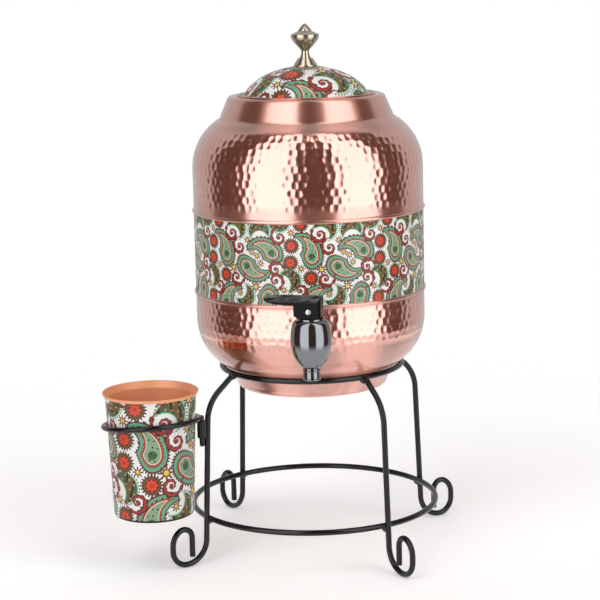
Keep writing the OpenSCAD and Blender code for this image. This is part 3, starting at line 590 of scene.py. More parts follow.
def bowl_profile(v):
    """The bowl's section from the axis out: bottom, corner curve, drum, bead, lap, and back inside."""
    edge, step = BAND_LOW.z, 0.0009
    lap_r = v.belly_r - v.wall - v.lap_gap
    axis_r, axis_z = v.belly_r - v.curve_r, BOWL_LOW.z + v.curve_r
    bead = (v.belly_r + v.bead_out - v.bead_r, edge - v.bead_r)
    bead_turn = math.acos((v.belly_r - bead[0]) / v.bead_r)
    outer = np.concatenate([
        run((0, BOWL_LOW.z), (axis_r, BOWL_LOW.z), 0.006),
        bend((axis_r, axis_z), v.curve_r, -math.pi / 2, 0, step),
        run((v.belly_r, axis_z), (v.belly_r, bead[1] - v.bead_r * math.sin(bead_turn)), step),
        bend(bead, v.bead_r, -bead_turn, bead_turn, 0.0004),
        run((v.belly_r, edge), (lap_r, edge), 0.0007),
        run((lap_r, edge), (lap_r, edge + v.lap_h), 0.003),
    ])
    wall_r = v.belly_r - v.wall
    inner = np.concatenate([
        [(lap_r, edge + v.lap_h), (lap_r - v.wall, edge + v.lap_h), (lap_r - v.wall, edge - v.lap_h / 2)],
        run((wall_r, edge - v.lap_h / 2), (wall_r, axis_z), step),
        bend((axis_r, axis_z), v.curve_r - v.wall, 0, -math.pi / 2, step),
        run((axis_r, BOWL_LOW.z + v.wall), (0, BOWL_LOW.z + v.wall), 0.012),
        [(0, BOWL_LOW.z + v.wall)],
    ])
    return outer, inner


def thin_rows(profile, keep_low, keep_high, every):
    """Every so many points of a profile, but all of those between two heights, and both ends."""
    index = np.arange(len(profile))
    kept = (profile[:, 1] > keep_low) & (profile[:, 1] < keep_high)
    kept |= (index % every == 0) | (index < 4) | (index > len(profile) - 3)
    return profile[kept]


def hole_loop(columns, column, half):
    """Rows and columns round a square block of a grid: right, up, left and down, seen from outside."""
    side = np.arange(-half, half)
    i = np.concatenate([0 * side - half, side, 0 * side + half, -side])
    j = np.concatenate([side, 0 * side + half, -side, 0 * side - half])
    return i, (column + j) % columns


def shoulder_zone(v):
    """Lowest and highest height of the hammered zone on the shoulder."""
    return BAND_HIGH.z + v.strip_above, BAND_HIGH.z + v.strip_above + v.hammered_up


def bowl_zone(v):
    """Lowest and highest height of the hammered zone on the bowl."""
    return BAND_LOW.z - v.strip_below - v.hammered_down, BAND_LOW.z - v.strip_below


def hammered_shoulder(v, material):
    """The shoulder shell as a lathe, hammered from the plain strip over the bead up to the neck."""
    outer, inner = shoulder_profile(v)
    profile = np.concatenate([outer, inner])
    along = travelled(profile)
    turn = np.arange(v.columns) * 2 * np.pi / v.columns
    low, high = np.interp(shoulder_zone(v), outer[:, 1], along[: len(outer)])
    depth = hammer(along, profile[:, 0], turn, low, high, v)
    depth[len(outer):] = 0
    return turned_shell("hammered_shoulder", lathe(profile, depth, v.columns), material)


def hammered_bowl(v, material):
    """The bowl as a lathe, hammered round the drum, with both ends on the axis.

    For the tap's hole, a block of quads is left out of both walls, its rim is drawn to a circle, and a sleeve
    of quads joins the two rims.
    """
    outer, inner = bowl_profile(v)
    inner = thin_rows(inner, v.shank_z - 1.5 * v.shank_hole_r, v.shank_z + 1.5 * v.shank_hole_r, 7)
    profile = np.concatenate([outer, inner])
    along = travelled(profile)
    turn = np.arange(v.columns) * 2 * np.pi / v.columns
    low, high = np.interp(bowl_zone(v), outer[:, 1], along[: len(outer)])
    depth = hammer(along, profile[:, 0], turn, low, high, v)
    depth[len(outer):] = 0
    points = lathe(profile, depth, v.columns)
    points[0, :, :2] = 0
    points[-1, :, :2] = 0
    faces = lathe_faces(len(profile), v.columns, False)
    half, column = 6, 3 * v.columns // 4
    outer_row = np.argmin(np.abs(outer[:, 1] - v.shank_z) + (outer[:, 0] < v.belly_r / 2))
    inner_row = len(outer) + np.argmin(np.abs(inner[:, 1] - v.shank_z) + (inner[:, 0] < v.belly_r / 2))
    i, j = hole_loop(v.columns, column, half)
    loops = []
    for row, side in ((outer_row, 1), (inner_row, -1)):
        rows = row + side * i
        rim = points[rows, j] - np.array([0, 0, v.shank_z])
        flat = rim[:, [0, 2]]
        flat *= v.shank_hole_r / np.linalg.norm(flat, axis=1)[:, None]
        up = flat[:, 1] + v.shank_z
        near = profile[row - 2 * half : row + 2 * half + 1][::side]
        reach = np.interp(up, near[:, 1], near[:, 0])
        points[rows, j] = np.stack([flat[:, 0], -np.sqrt(reach**2 - flat[:, 0] ** 2), up], 1)
        loops.append(rows * v.columns + j)
    keep = np.ones(faces.shape[:2], bool)
    block = np.arange(column - half, column + half)
    keep[outer_row - half : outer_row + half, block] = False
    keep[inner_row - half : inner_row + half, block] = False
    keep[0] = keep[-1] = False
    ring, sunk = loops
    sleeve = np.stack([ring, np.roll(ring, -1), np.roll(sunk, -1), sunk], 1)
    here, on = np.arange(v.columns), np.roll(np.arange(v.columns), -1)
    base = (len(profile) - 2) * v.columns
    low_cap = np.stack([0 * here, v.columns + on, v.columns + here], 1)
    high_cap = np.stack([base + here, base + on, 0 * here + base + v.columns], 1)
    quads, caps = np.concatenate([faces[keep], sleeve]), np.concatenate([low_cap, high_cap])
    used, corners = np.unique(np.concatenate([quads.ravel(), caps.ravel()]), return_inverse=True)
    cut = quads.size
    made = corners[:cut].reshape(-1, 4).tolist() + corners[cut:].reshape(-1, 3).tolist()
    return mesh_object("hammered_bowl", points.reshape(-1, 3)[used], made, material)


def copper_finish(name, v, zones, satin, lines):
    """Lacquered copper in two tones by slow noise.

    It is spun, with fine lines round the axis that draw each highlight out up and down, and between the
    heights of each zone it is hammered, with an even polish.
    """
    lacquer = {"Metallic": 1.0, "Coat_Weight": 1.0, "Coat_Roughness": 0.12, "Coat_IOR": v.lacquer}
    f = Finish(name, Anisotropic=1.0, Anisotropic_Rotation=0.25, **lacquer)
    place = f.coords()
    x, y, z = place.split()
    tone = place.noise(9.0, 4.0).ease(0.35, 0.7).tint(tuple(v.copper), tuple(v.copper_dark))
    cloud = (place.noise(60.0, 4.0) - 0.5) * 0.12
    spun = place.join((x * x + y * y).root() * 900.0, x.angle(y) * 1.5, z * 900.0).noise(1.0, 2.0)
    f.feed(Base_Color=tone, Roughness=cloud + spun * 0.06 + satin, Normal=spun.bump(lines))
    for low, high in zones:
        worked = z.ease(low, low + 0.006) * (1.0 - z.ease(high - 0.003, high + 0.003))
        f.over(worked, **lacquer).feed(Base_Color=tone, Roughness=cloud + v.gloss)
    return f.material


def teardrop(ground, x, y, ink):
    """A hooked drop: distance to an arc less a width that narrows along it, with teeth, rims and seeds."""
    px = 1.1 - x
    turn = y.angle(px)
    along = turn.most(0.0).least(1.8)
    miss = (turn - along) * 1.1
    side = (px * px + y * y).root() - 1.1
    gap = (side * side + miss * miss).root() - 0.7 * (1.0 - along / 1.84).power(0.7)
    tooth = (x.angle(y + 0.1) * 34.0).sine() > 0.0
    c = ground.paint((gap < 0.15) * tooth, ink.maroon)
    c = c.paint(gap < 0.08, ink.maroon)
    c = c.paint(gap < 0.005, ink.green)
    c = c.paint((gap < -0.13) * tooth, ink.maroon)
    c = c.paint(gap < -0.19, ink.red)
    c = c.paint(gap < -0.275, ink.cream)
    c = c.paint(gap < -0.315, ink.sage)
    c = c.paint((x * x + y * y) < 0.045, ink.moss)
    fx = (x * 4.0 + 0.2).fraction() - 0.5
    fy = (y * 3.2 + 0.3).fraction() - 0.5
    return c.paint(((fx * fx + fy * fy) < 0.025) * (gap < -0.38), ink.black)


def rosette(ground, x, y, ink):
    """A round flower with a beaded rim and an eight-lobed heart."""
    r = (x * x + y * y).root()
    turn = x.angle(y)
    wave = (turn * 20.0).cosine()
    c = ground.paint((r < 1.0) * (r > 0.84) * (wave > 0.1), ink.maroon)
    c = c.paint(r < 0.84, ink.maroon)
    c = c.paint((r > 0.56) * (r < 0.79) * (wave < 0.5), ink.olive)
    star = (turn * 8.0).cosine()
    c = c.paint(r < 0.52 + 0.06 * star, ink.red)
    c = c.paint((r < 0.4 + 0.1 * star) * (r > 0.15), ink.orange)
    return c.paint((r < 0.28) * (r > 0.15) * (star > 0.0), ink.red)


def flower(ground, x, y, ink):
    """A small flower of eight pointed petals."""
    r = (x * x + y * y).root()
    petal = (x.angle(y) * 8.0).cosine()
    c = ground.paint(r < 0.72 + 0.32 * petal, ink.maroon)
    c = c.paint((r < 0.6 + 0.28 * petal) * (petal > 0.2), ink.rust)
    c = c.paint(r < 0.48, ink.black)
    return c.paint(r < 0.36, ink.yellow)


def scroll(ground, x, y, ink):
    """A tendril on a growing spiral, log(r) = 1.25 * turns, with a ball at its heart and a thin outer end."""
    r = (x * x + y * y).root().most(0.02)
    lap = x.angle(y) / (2 * math.pi)
    grow = r.log() / 1.25
    turn = lap + (grow - lap).nearest()
    off = abs(grow - turn)
    width = 0.22 * ((0.56 - turn) * 2.4).clamp() * (turn > -0.98)
    tooth = (turn * 50.0).sine() > 0.0
    c = ground.paint((off < width + 0.07) * (width > 0.02) * tooth, ink.maroon)
    c = c.paint((off < width).most(r < 0.3), ink.maroon)
    return c.paint((off < width * 0.45).most(r < 0.18), ink.red)


def leaf(ground, x, y, ink):
    """A crescent leaf, a circle less a bite, with a beaded rim and small flowers on a striped field."""
    r = (x * x + y * y).root()
    bx, by = x - 0.8, y - 0.3
    edge = (r - 1.0).most(0.9 - (bx * bx + by * by).root())
    bead = (x.angle(y) * 34.0).sine()
    c = ground.paint((edge < 0.17) * (r > 1.09) * (bead > 0.0), ink.black)
    c = c.paint(edge < 0.06, ink.mint)
    field = edge < -0.02
    c = c.paint(field, ink.black)
    band = ((x * 0.5 + y) * 4.2).sine()
    c = c.paint(field * (band > 0.1), ink.moss)
    c = c.paint(field * (band < -0.6), ink.olive)
    fx = (x * 2.3 + 0.1).fraction() - 0.5
    fy = (y * 2.3 + 0.35).fraction() - 0.5
    spot = (fx * fx + fy * fy).root()
    petal = (fx.angle(fy) * 6.0).cosine()
    inside = edge < -0.1
    c = c.paint(inside * (spot < 0.21 + 0.09 * petal), ink.petal)
    return c.paint(inside * (spot < 0.09), ink.yellow)


# The figures of one repeat, from the largest to the smallest: drawing, size in mm and how many
PLAN = (
    (teardrop, 12.6, 5),
    (leaf, 9.2, 5),
    (rosette, 7.0, 5),
    (scroll, 4.4, 10),
    (flower, 4.8, 4),
    (flower, 3.4, 9),
)

# Discs that cover each drawing, in units of its size: place across, place up and radius
COVER = {
    teardrop: ((0.0, 0.0, 0.8), (0.2, 0.6, 0.62), (0.7, 1.0, 0.42), (1.2, 1.1, 0.2)),
    leaf: ((-0.45, -0.15, 0.7), (-0.05, 0.8, 0.35), (0.5, -0.75, 0.35)),
    rosette: ((0.0, 0.0, 1.0),),
    scroll: ((0.0, 0.0, 1.15), (1.0, -0.4, 0.5), (0.6, -1.3, 0.4)),
    flower: ((0.0, 0.0, 1.0),),
}


def lay_out(width, height, turns=24):
    """The figures of one repeat, with drawing, size, place in mm, turn and side, on a tile that wraps.

    Each figure is covered by a few discs. On a grid of about 1 mm, free holds the distance from each cell to
    the nearest disc already laid. A figure goes to the cell, turn and side at which its discs keep the
    widest gap.
    """
    grid = np.round((width, height)).astype(int)
    cell = np.array([width, height]) / grid
    across, up = np.meshgrid(*(np.arange(n) * c for n, c in zip(grid, cell)), indexing="ij")
    free = np.full(grid, width)
    laid = []
    for draw, size in [(draw, size) for draw, size, times in PLAN for _ in range(times)]:
        best = (-width,)
        discs = size * np.array(COVER[draw])
        for side in (1, -1):
            for turn in np.arange(turns) * 2 * np.pi / turns:
                axes = np.array([[side * np.cos(turn), side * np.sin(turn)], [-np.sin(turn), np.cos(turn)]])
                spots = discs[:, :2] @ axes
                shifts = np.round(spots / cell).astype(int)
                gap = np.min([np.roll(free, -s, (0, 1)) - r for s, r in zip(shifts, discs[:, 2])], axis=0)
                if gap.max() > best[0] + 0.01:
                    place = np.array(np.unravel_index(gap.argmax(), grid)) * cell
                    best = (gap.max(), place, turn, side, spots)
        gap, place, turn, side, spots = best
        laid.append((draw, size, place, turn, side))
        for spot, r in zip(place + spots, discs[:, 2]):
            dx = (across - spot[0] + width / 2) % width - width / 2
            dy = (up - spot[1] + height / 2) % height - height / 2
            free = np.minimum(free, np.hypot(dx, dy) - r)
    return laid


def ornament_group(ink, width, height):
    """The printed ornament as a node group: a place in mm on the flat print goes in, a colour comes out."""
    tree = bpy.data.node_groups.new("printed_ornament", "ShaderNodeTree")
    tree.interface.new_socket("Place", in_out="INPUT", socket_type="NodeSocketVector")
    tree.interface.new_socket("Colour", in_out="OUTPUT", socket_type="NodeSocketColor")
    place = Wire(tree).node("NodeGroupInput")
    c = place.node("ShaderNodeRGB")
    c.socket.default_value = (*ink.white, 1.0)
    high = (width / 2, height / 2, 1)
    low = tuple(-h for h in high)
    for draw, size, centre, turn, side in lay_out(width, height):
        near = place.node("ShaderNodeVectorMath", {"operation": "SUBTRACT"}, {0: place, 1: (*centre, 0)})
        near = near.node("ShaderNodeVectorMath", {"operation": "WRAP"}, {0: near, 1: high, 2: low})
        x = near.dot((side * math.cos(turn) / size, side * math.sin(turn) / size, 0))
        y = near.dot((-math.sin(turn) / size, math.cos(turn) / size, 0))
        c = draw(c, x, y, ink)
    out = tree.nodes.new("NodeGroupOutput")
    tree.links.new(c.socket, out.inputs[0])
    return tree


def printed_finish(name, group, base, rough, place_on, outside_of, bare_metal=1.0, shade_below=0.0):
    """Print under clear lacquer on copper of a base colour, with painted shade below a given height.

    place_on gives the place on the print in mm, and outside_of the area that is printed.
    """
    f = Finish(name, Coat_Roughness=0.08, Specular_IOR_Level=0.25)
    place = f.coords()
    printed = outside_of(place, f.coords("Normal"))
    art = place.node("ShaderNodeGroup", {"node_tree": group}, {0: place_on(place)})
    bare = place.noise(20.0, 4.0).tint(tuple(base), tuple(0.85 * c for c in base))
    # Painted shade: near black on the bare copper below the given height, at the tumbler's base.
    bare = bare.paint(place.split()[2] < shade_below, settings().ornament.base_shade)
    cloud = place.noise(70.0, 3.0)
    f.feed(
        Base_Color=bare.paint(printed, art),
        Metallic=(1.0 - printed) * bare_metal,
        Coat_Weight=printed * 0.3,
        Roughness=printed * (0.4 - rough) + rough + (cloud - 0.5) * 0.1,
        Normal=place.noise(55.0, 2.0).bump(0.00004),
    )
    return f.material


def band_place(v):
    """Place on the belly band: angle times radius across, and height up."""
    def place_on(place):
        x, y, z = place.split()
        across = x.angle(0.0 - y) * (v.belly_r / MM)
        return place.join(across, (z - BAND_LOW.z) * (1 / MM), 0.0)
    return place_on


def cup_place(ornament, width):
    """Place on the tumbler: angle times radius across and height up, drawn larger than on the band."""
    axis_x, axis_y = CUP_AXIS[:2]
    per_turn = ornament.cup_repeats * width / (2 * math.pi)
    grow = ornament.cup_r / MM / per_turn
    def place_on(place):
        x, y, z = place.split()
        return place.join((x - axis_x).angle(axis_y - y) * per_turn, (z - CUP_LOW.z) * (1 / MM / grow), 0.0)
    return place_on


def lid_place(ornament):
    """Place on the lid: seen from above, and drawn out by three quarters of the fall from the crown."""
    def place_on(place):
        x, y, z = place.split()
        r = (x * x + y * y).root().most(0.001)
        out = (1.0 + 0.75 * (LID_HIGH.z - z) / r) * (1 / MM / ornament.lid_scale)
        return place.join(x * out, y * out, 0.0)
    return place_on


def band_outside(place, normal):
    """The band's outer face: its normal points away from the axis."""
    return place.stretch(1, 1, 0).dot(normal) > 0.0


def cup_outside(place, normal):
    """The tumbler's outer face between its base edge and its lip."""
    o = settings().ornament
    x, y, z = place.split()
    arm = place.node("ShaderNodeVectorMath", {"operation": "SUBTRACT"}, {0: place, 1: CUP_AXIS})
    side = arm.stretch(1, 1, 0).dot(normal) > 0.004
    return side * (z > CUP_LOW.z + o.cup_edge) * (z < CUP_HIGH.z - o.cup_lip)


def lid_outside(place, normal):
    """The lid's upper face, apart from the brim's rim."""
    x, y, z = place.split()
    nx, ny, nz = normal.split()
    arm = place.stretch(1, 1, 0).dot(normal)
    r = (x * x + y * y).root()
    return ((nz > 0.02) + (arm > 0.02)).clamp() * (r < LID_HIGH.x - settings().ornament.lid_rim)


def tap_egg(m, material):
    """The egg round the tap's lower half: r = tap radius * cos t, z = belt - egg height * sin t.

    The profile runs up the egg and over the seam's bead, and comes back down inside the tap's wall.
    """
    low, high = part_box("tap_bonnet")
    tap_r = (high.y - low.y) / 2
    belt_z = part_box("tap_body")[0].z + m.belt_drop
    t = np.linspace(math.acos(m.throat_r / tap_r), 0, 49)
    egg = np.stack([tap_r * np.cos(t), belt_z - m.egg_h * np.sin(t)], 1)
    seam = (tap_r - m.seam_r, belt_z + m.seam_rise)
    bead = bend(seam, m.seam_r, -math.pi / 2, math.pi / 2, 0.0001)
    inner_r = seam[0] - m.seam_r
    inside = [(inner_r, seam[1] + m.seam_r), (inner_r, belt_z), (m.throat_r - m.seam_r, egg[0, 1])]
    profile = np.concatenate([egg, bead, inside])
    points = lathe(profile, 0, 96) + np.array([(low.x + high.x) / 2, (low.y + high.y) / 2, 0])
    return turned_shell("tap_egg", points, material)


def rivet_head(name, m, side, material):
    """A rivet's dome on one side of the lever's hub: an ellipse over a straight edge, round the pin."""
    joint = next(j for j in frame["record"]["behaviour"]["joints"] if j["child"] == "lever")
    out = side * np.array(joint["axis"])
    across = np.cross((0, 0, 1), out)
    base = np.array(joint["pos_m"]) + out * m.hub_w / 2
    t = np.linspace(0, np.pi / 2, 12, endpoint=False)
    r = np.concatenate([[m.rivet_r], m.rivet_r * np.cos(t)])[:, None, None]
    lift = np.concatenate([[-m.rivet_skirt], m.rivet_h * np.sin(t)])[:, None, None]
    turn = np.arange(40) * 2 * np.pi / 40
    ring = np.stack([np.cos(turn), np.sin(turn)], 1) @ np.array([across, (0, 0, 1)])
    grid = base + r * ring + lift * out
    return mesh_object(name, *closed_grid(grid, base - m.rivet_skirt * out, base + m.rivet_h * out), material)


def return_coil(m, material):
    """The tap's spring, a wire on a helix: r = coil radius + w cos b, z = rise * turn - w sin b."""
    low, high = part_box("return_spring")
    axis = np.array([(low.x + high.x) / 2, (low.y + high.y) / 2, low.z + m.wire_r])
    coil_r, rise = (high.x - low.x) / 2 - m.wire_r, high.z - low.z - 2 * m.wire_r
    a = np.linspace(0, 2 * np.pi * m.coil_turns, 36 * m.coil_turns + 1)[:, None]
    b = np.arange(16) * 2 * np.pi / 16
    r = coil_r + m.wire_r * np.cos(b)
    grid = axis + np.stack([r * np.cos(a), r * np.sin(a), rise * a / a[-1] - m.wire_r * np.sin(b)], 2)
    start, end = grid[0].mean(0), grid[-1].mean(0)
    return mesh_object("return_coil", *closed_grid(grid, start, end), material)


def printed_lid(o, material):
    """The lid turned about Z: a rounded brim, and a dome that is one cubic curve from brim to level crown.

    The inner side is the dome pushed in by the sheet's thickness along its normals.
    """
    brim_top = LID_LOW.z + o.lid_wall
    t = np.linspace(1, 0, 60)[:, None]
    crown, level = np.array([0, LID_HIGH.z]), np.array([o.crown_r, LID_HIGH.z])
    hip, foot = np.array([o.hip_r, brim_top + o.hip_h]), np.array([o.dome_r, brim_top])
    dome = (1 - t) ** 3 * crown + 3 * (1 - t) ** 2 * t * level + 3 * (1 - t) * t**2 * hip + t**3 * foot
    dome = dome[dome[:, 0] > o.lid_bore_r]
    edge = (LID_HIGH.x - o.lid_wall / 2, LID_LOW.z + o.lid_wall / 2)
    brim = np.concatenate([
        bend(edge, o.lid_wall / 2, -math.pi / 2, math.pi / 2, 0.0002),
        run((edge[0], brim_top), (o.dome_r, brim_top), 0.002),
    ])
    inner = (dome - o.lid_wall * outward(dome))[::-1]
    inner = inner[inner[:, 1] > brim_top]
    profile = np.concatenate([brim, dome, inner, [(inner[-1, 0], LID_LOW.z)]])
    return turned_shell("printed_lid", lathe(profile, 0, 192), material)


def meeting_place(node, other):
    """The middle between the nearest corners of two nodes' meshes."""
    ends = []
    for name in (node, other):
        mesh = frame["nodes"][name].data
        flat = np.empty(3 * len(mesh.vertices), np.float32)
        mesh.vertices.foreach_get("co", flat)
        ends.append(np.unique(np.round(flat.reshape(-1, 3), 3), axis=0))
    gap = np.linalg.norm(ends[0][:, None] - ends[1][None], axis=2)
    i, j = np.unravel_index(gap.argmin(), gap.shape)
    return (ends[0][i] + ends[1][j]) / 2


def weld_bead(name, place, m, material):
    """A lumpy ball at a joint of two rods: r = weld radius * (1 + 0.12 sin(3 a) sin(2 t))."""
    t = np.linspace(0, np.pi, 14)[1:-1, None]
    a = np.arange(24) * 2 * np.pi / 24
    r = m.weld_r * (1 + 0.12 * np.sin(3 * a) * np.sin(2 * t))
    ball = np.stack([r * np.sin(t) * np.cos(a), r * np.sin(t) * np.sin(a), -r * np.cos(t)], 2)
    pole = np.array([0, 0, m.weld_r])
    return mesh_object(name, *closed_grid(place + ball, place - pole, place + pole), material)


def rod_finish(m):
    """Black coat on the rods: uneven gloss and a fine orange-peel grain."""
    f = Finish("rod_black", Base_Color=tuple(m.rod), Specular_IOR_Level=0.45)
    place = f.coords()
    cloud = place.noise(45.0, 4.0)
    peel = place.noise(700.0, 2.0)
    return f.feed(Roughness=m.rod_gloss + (cloud - 0.5) * 0.15, Normal=peel.bump(0.00004))


def chrome_finish(m):
    """Chrome plate: nearly a mirror, with faint wiping haze."""
    f = Finish("tap_chrome", Metallic=1.0, Base_Color=tuple(m.chrome))
    place = f.coords()
    haze = place.noise(80.0, 5.0, 0.6)
    wiped = haze.ease(0.45, 0.75) * 0.1 + m.chrome_gloss
    return f.feed(Roughness=wiped, Normal=place.noise(40.0, 2.0).bump(0.00003))


def plastic_finish(m):
    """Moulded black plastic, with streaks along the lever, and painted sheen that lightens the streaks to
    grey on its upper face, where light from above falls.
    """
    f = Finish("lever_plastic", Specular_IOR_Level=0.1)
    place = f.coords()
    streak = place.stretch(70.0, 700.0, 700.0).noise(1.0, 3.0)
    nx, ny, nz = f.coords("Normal").split()
    # Painted sheen: upward faces are lightened to grey, in streaks, as if lit from above.
    top_sheen = nz.ease(0.3, 0.85) * streak.ease(0.3, 0.75)
    return f.feed(
        Base_Color=top_sheen.tint(tuple(m.plastic), tuple(m.top_sheen)),
        Roughness=m.plastic_gloss + (streak - 0.5) * 0.3,
        Normal=(place.noise(1500.0, 2.0) * 0.3 + streak).bump(0.0001),
    )


def turned_finish(name, base, rough):
    """Metal turned on a lathe: fine rings round the vertical axis."""
    f = Finish(name, Metallic=1.0, Base_Color=tuple(base))
    place = f.coords()
    rings = place.stretch(30.0, 30.0, 2600.0).noise(1.0, 2.0)
    cloud = place.noise(120.0, 3.0)
    return f.feed(Roughness=rough + (cloud - 0.5) * 0.12, Normal=rings.bump(0.00002))


def rubber_finish(m):
    """Matt rubber with a fine grain."""
    f = Finish("seal_rubber", Base_Color=tuple(m.rubber), IOR=1.45)
    grain = f.coords().noise(1200.0, 3.0)
    return f.feed(Roughness=0.62 + grain * 0.2, Normal=grain.bump(0.00005))


class DISPENSER_OT_stage(bpy.types.Operator):
    """Makes the camera, the floor and the studio's soft light"""

    bl_idname = "dispenser.stage"
    bl_label = "Stage"

    def execute(self, context):
        s = settings().stage
        cp, sp = math.cos(s.pitch), math.sin(s.pitch)
        ahead = np.array([math.sin(s.yaw) * cp, math.cos(s.yaw) * cp, -sp])
        right = np.array([math.cos(s.yaw), -math.sin(s.yaw), 0.0])
        above = np.cross(right, ahead)
        side = math.cos(s.roll) * right + math.sin(s.roll) * above
        top = math.cos(s.roll) * above - math.sin(s.roll) * right
        camera = bpy.data.objects.new("camera", bpy.data.cameras.new("camera"))
        camera.data.lens, camera.data.sensor_width = s.lens, s.sensor
        camera.data.clip_start, camera.data.clip_end = 0.05, 200.0
        turn = np.eye(4)
        turn[:3, 0], turn[:3, 1], turn[:3, 2], turn[:3, 3] = side, top, -ahead, s.place
        camera.matrix_world = Matrix(turn.tolist())
        context.scene.collection.objects.link(camera)
        context.scene.camera = camera
        context.scene.view_settings.view_transform = "Standard"
        self.studio(context, s)
        self.floor(s)
        return {"FINISHED"}

    def studio(self, context, s):
        """The world by azimuth from the front: two softboxes, dark flags, a backdrop and a ceiling."""
        world = bpy.data.worlds.new("studio")
        context.scene.world = world
        world.use_nodes = True
        tree = world.node_tree
        tree.nodes.clear()
        x, y, z = Wire(tree).node("ShaderNodeTexCoord", output="Generated").split()
        turn = x.angle(0.0 - y) * (180 / math.pi)
        left, right = (turn.ease(*box[:2]) * (1.0 - turn.ease(*box[2:])) for box in (LEFT_BOX, RIGHT_BOX))
        back = abs(turn).ease(BACK_FROM, BACK_FULL)
        light = (left + right).tint(tuple(s.flag), (1, 1, 1))
        light = light.paint(back, (s.backdrop, s.backdrop, s.backdrop))
        light = light.paint(z.ease(CEILING_FROM, CEILING_FULL), (s.ceiling, s.ceiling, s.ceiling))
        shown = turn.node("ShaderNodeLightPath", output="Is Camera Ray")
        light = light.paint(shown, (1 / s.softbox, 1 / s.softbox, 1 / s.softbox))
        sky = tree.nodes.new("ShaderNodeBackground")
        out = tree.nodes.new("ShaderNodeOutputWorld")
        sky.inputs["Strength"].default_value = s.softbox
        tree.links.new(light.socket, sky.inputs["Color"])
        tree.links.new(sky.outputs[0], out.inputs[0])

    def floor(self, s):
        """A flat disc of one ring of 96 points that fades out towards its edge."""
        matt = {"Roughness": 0.9, "Specular_IOR_Level": 0.0, "Emission_Strength": 1.0}
        f = Finish("floor_white", Base_Color=tuple(s.floor), **matt)
        x, y, z = f.coords().split()
        rays = ("Is Camera Ray", "Is Glossy Ray", "Is Transmission Ray")
        seen = sum(x.node("ShaderNodeLightPath", output=ray) for ray in rays).clamp()
        lift = (s.floor_lift, s.floor_lift, s.floor_lift)
        edge = (x * x + y * y).root().ease(0.5 * s.floor_r, s.floor_r)
        f.feed(Emission_Color=seen.tint((0.0, 0.0, 0.0), lift), Alpha=1.0 - edge)
        turn = np.arange(96) * 2 * np.pi / 96
        ring = np.stack([s.floor_r * np.cos(turn), s.floor_r * np.sin(turn), 0 * turn - 0.0002], 1)
        floor = mesh_object("floor", ring, [list(range(96))], f.material)


class DISPENSER_OT_vessel(bpy.types.Operator):
    """Makes the hammered shoulder and bowl and dresses the foot and the lid's skirt in copper"""

    bl_idname = "dispenser.vessel"
    bl_label = "Hammered vessel"

    def execute(self, context):
        v = settings().vessel
        satin = copper_finish("copper_satin", v, (), v.satin, 0.00002)
        sheets = (
            (hammered_shoulder, "shoulder_shell", shoulder_zone, v.satin),
            (hammered_bowl, "lower_bowl", bowl_zone, v.bowl_satin),
        )
        for make, node, zone, rough in sheets:
            piece = make(v, copper_finish(f"copper_{node}", v, (zone(v),), rough, 0.000008))
            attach(piece, "vessel")
            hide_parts(node)
        dress("foot_ring", satin)
        dress("lid_skirt", satin)
        return {"FINISHED"}


class DISPENSER_OT_prints(bpy.types.Operator):
    """Prints the ornament on the belly band, the lid and the tumbler"""

    bl_idname = "dispenser.prints"
    bl_label = "Printed pieces"

    def execute(self, context):
        o, v = settings().ornament, settings().vessel
        width = 2 * math.pi * v.belly_r / MM / o.repeats
        group = ornament_group(o, width, o.tile_h / MM)
        dress("belly_band", printed_finish("printed_band", group, v.copper, 0.2, band_place(v), band_outside))
        # The tumbler's inside takes the brighter inner copper, which paints the glow of light inside it.
        inside = (v.inner, v.inner_gloss, cup_place(o, width), cup_outside, v.inner_metal)
        # The tumbler's finish paints shade below the dark edge at its base.
        dress("tumbler", printed_finish("printed_tumbler", group, *inside, CUP_LOW.z + o.cup_edge))
        lid = printed_lid(o, printed_finish("printed_lid", group, v.copper, 0.2, lid_place(o), lid_outside))
        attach(lid, "lid")
        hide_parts("lid_dome")
        return {"FINISHED"}


class DISPENSER_OT_stand(bpy.types.Operator):
    """Coats the stand's rods and the tumbler's holder in black"""

    bl_idname = "dispenser.stand"
    bl_label = "Rod stand"

    def execute(self, context):
        coat = rod_finish(settings().metal)
        for node in frame["nodes"]:
            if node.startswith(("stand_", "leg_", "cup_holder_")):
                dress(node, coat)
        for leg in [node for node in frame["nodes"] if node.startswith("leg_")]:
            for ring in ("stand_top_ring", "stand_bottom_ring"):
                name = f"weld_{ring.removeprefix('stand_')}_{leg.removeprefix('leg_')}"
                bead = weld_bead(name, meeting_place(leg, ring), settings().metal, coat)
                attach(bead, "stand")
        return {"FINISHED"}


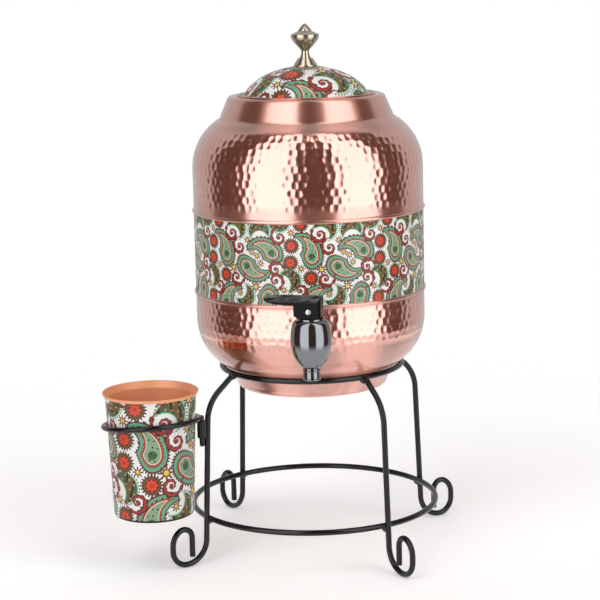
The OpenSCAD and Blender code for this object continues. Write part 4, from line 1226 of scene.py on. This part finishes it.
class DISPENSER_OT_tap(bpy.types.Operator):
    """Plates the tap and gives its lever, valve and seals their finish"""

    bl_idname = "dispenser.tap"
    bl_label = "Tap"

    def execute(self, context):
        m = settings().metal
        chrome, rubber = chrome_finish(m), rubber_finish(m)
        steel = turned_finish("steel", m.steel, m.steel_gloss)
        for node in ("tap_body", "tap_bonnet"):
            dress(node, chrome)
        for node in ("tap_outer_washer", "tap_inner_washer", "stem_seal", "valve_cup"):
            dress(node, rubber)
        for node in ("tap_lock_nut", "valve_stem", "lever_pin", "knob_washer", "knob_nut"):
            dress(node, steel)
        dress("tap_lever", plastic_finish(m))
        egg = tap_egg(m, chrome)
        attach(egg, "vessel")
        coil = return_coil(m, steel)
        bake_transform(coil)
        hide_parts("return_spring")
        for name, side in (("rivet_front", 1), ("rivet_back", -1)):
            head = rivet_head(name, m, side, steel)
            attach(head, "stem")
        return {"FINISHED"}


class DISPENSER_OT_knob(bpy.types.Operator):
    """Gives the lid's knob its turned pale brass"""

    bl_idname = "dispenser.knob"
    bl_label = "Knob"

    def execute(self, context):
        m = settings().metal
        dress("lid_knob", turned_finish("knob_brass", m.brass, m.brass_gloss))
        return {"FINISHED"}


class DISPENSER_PT_panel(bpy.types.Panel):
    """Lists the dispenser's settings and the buttons of its steps"""

    bl_idname = "DISPENSER_PT_panel"
    bl_label = "Copper water dispenser"
    bl_space_type = "VIEW_3D"
    bl_region_type = "UI"
    bl_category = "Dispenser"

    def draw(self, context):
        for group in ("vessel", "ornament", "metal", "stage"):
            owner = getattr(settings(), group)
            box = self.layout.box()
            box.label(text=group.title())
            for key in owner.__annotations__:
                box.prop(owner, key)
        for operator in STEPS:
            self.layout.operator(operator.bl_idname)


STEPS = (
    DISPENSER_OT_stage,
    DISPENSER_OT_vessel,
    DISPENSER_OT_prints,
    DISPENSER_OT_stand,
    DISPENSER_OT_tap,
    DISPENSER_OT_knob,
)
GROUPS = (VesselSettings, PrintSettings, MetalSettings, StageSettings, DispenserSettings)
CLASSES = (*GROUPS, *STEPS, DISPENSER_PT_panel)


def register():
    for made in CLASSES:
        bpy.utils.register_class(made)
    bpy.types.Scene.dispenser_settings = PointerProperty(type=DispenserSettings)


def unregister():
    del bpy.types.Scene.dispenser_settings
    for made in reversed(CLASSES):
        bpy.utils.unregister_class(made)


def main():
    register()
    bpy.ops.dispenser.stage()
    bpy.ops.dispenser.vessel()
    bpy.ops.dispenser.prints()
    bpy.ops.dispenser.stand()
    bpy.ops.dispenser.tap()
    bpy.ops.dispenser.knob()


if __name__ == "__main__":
    main()
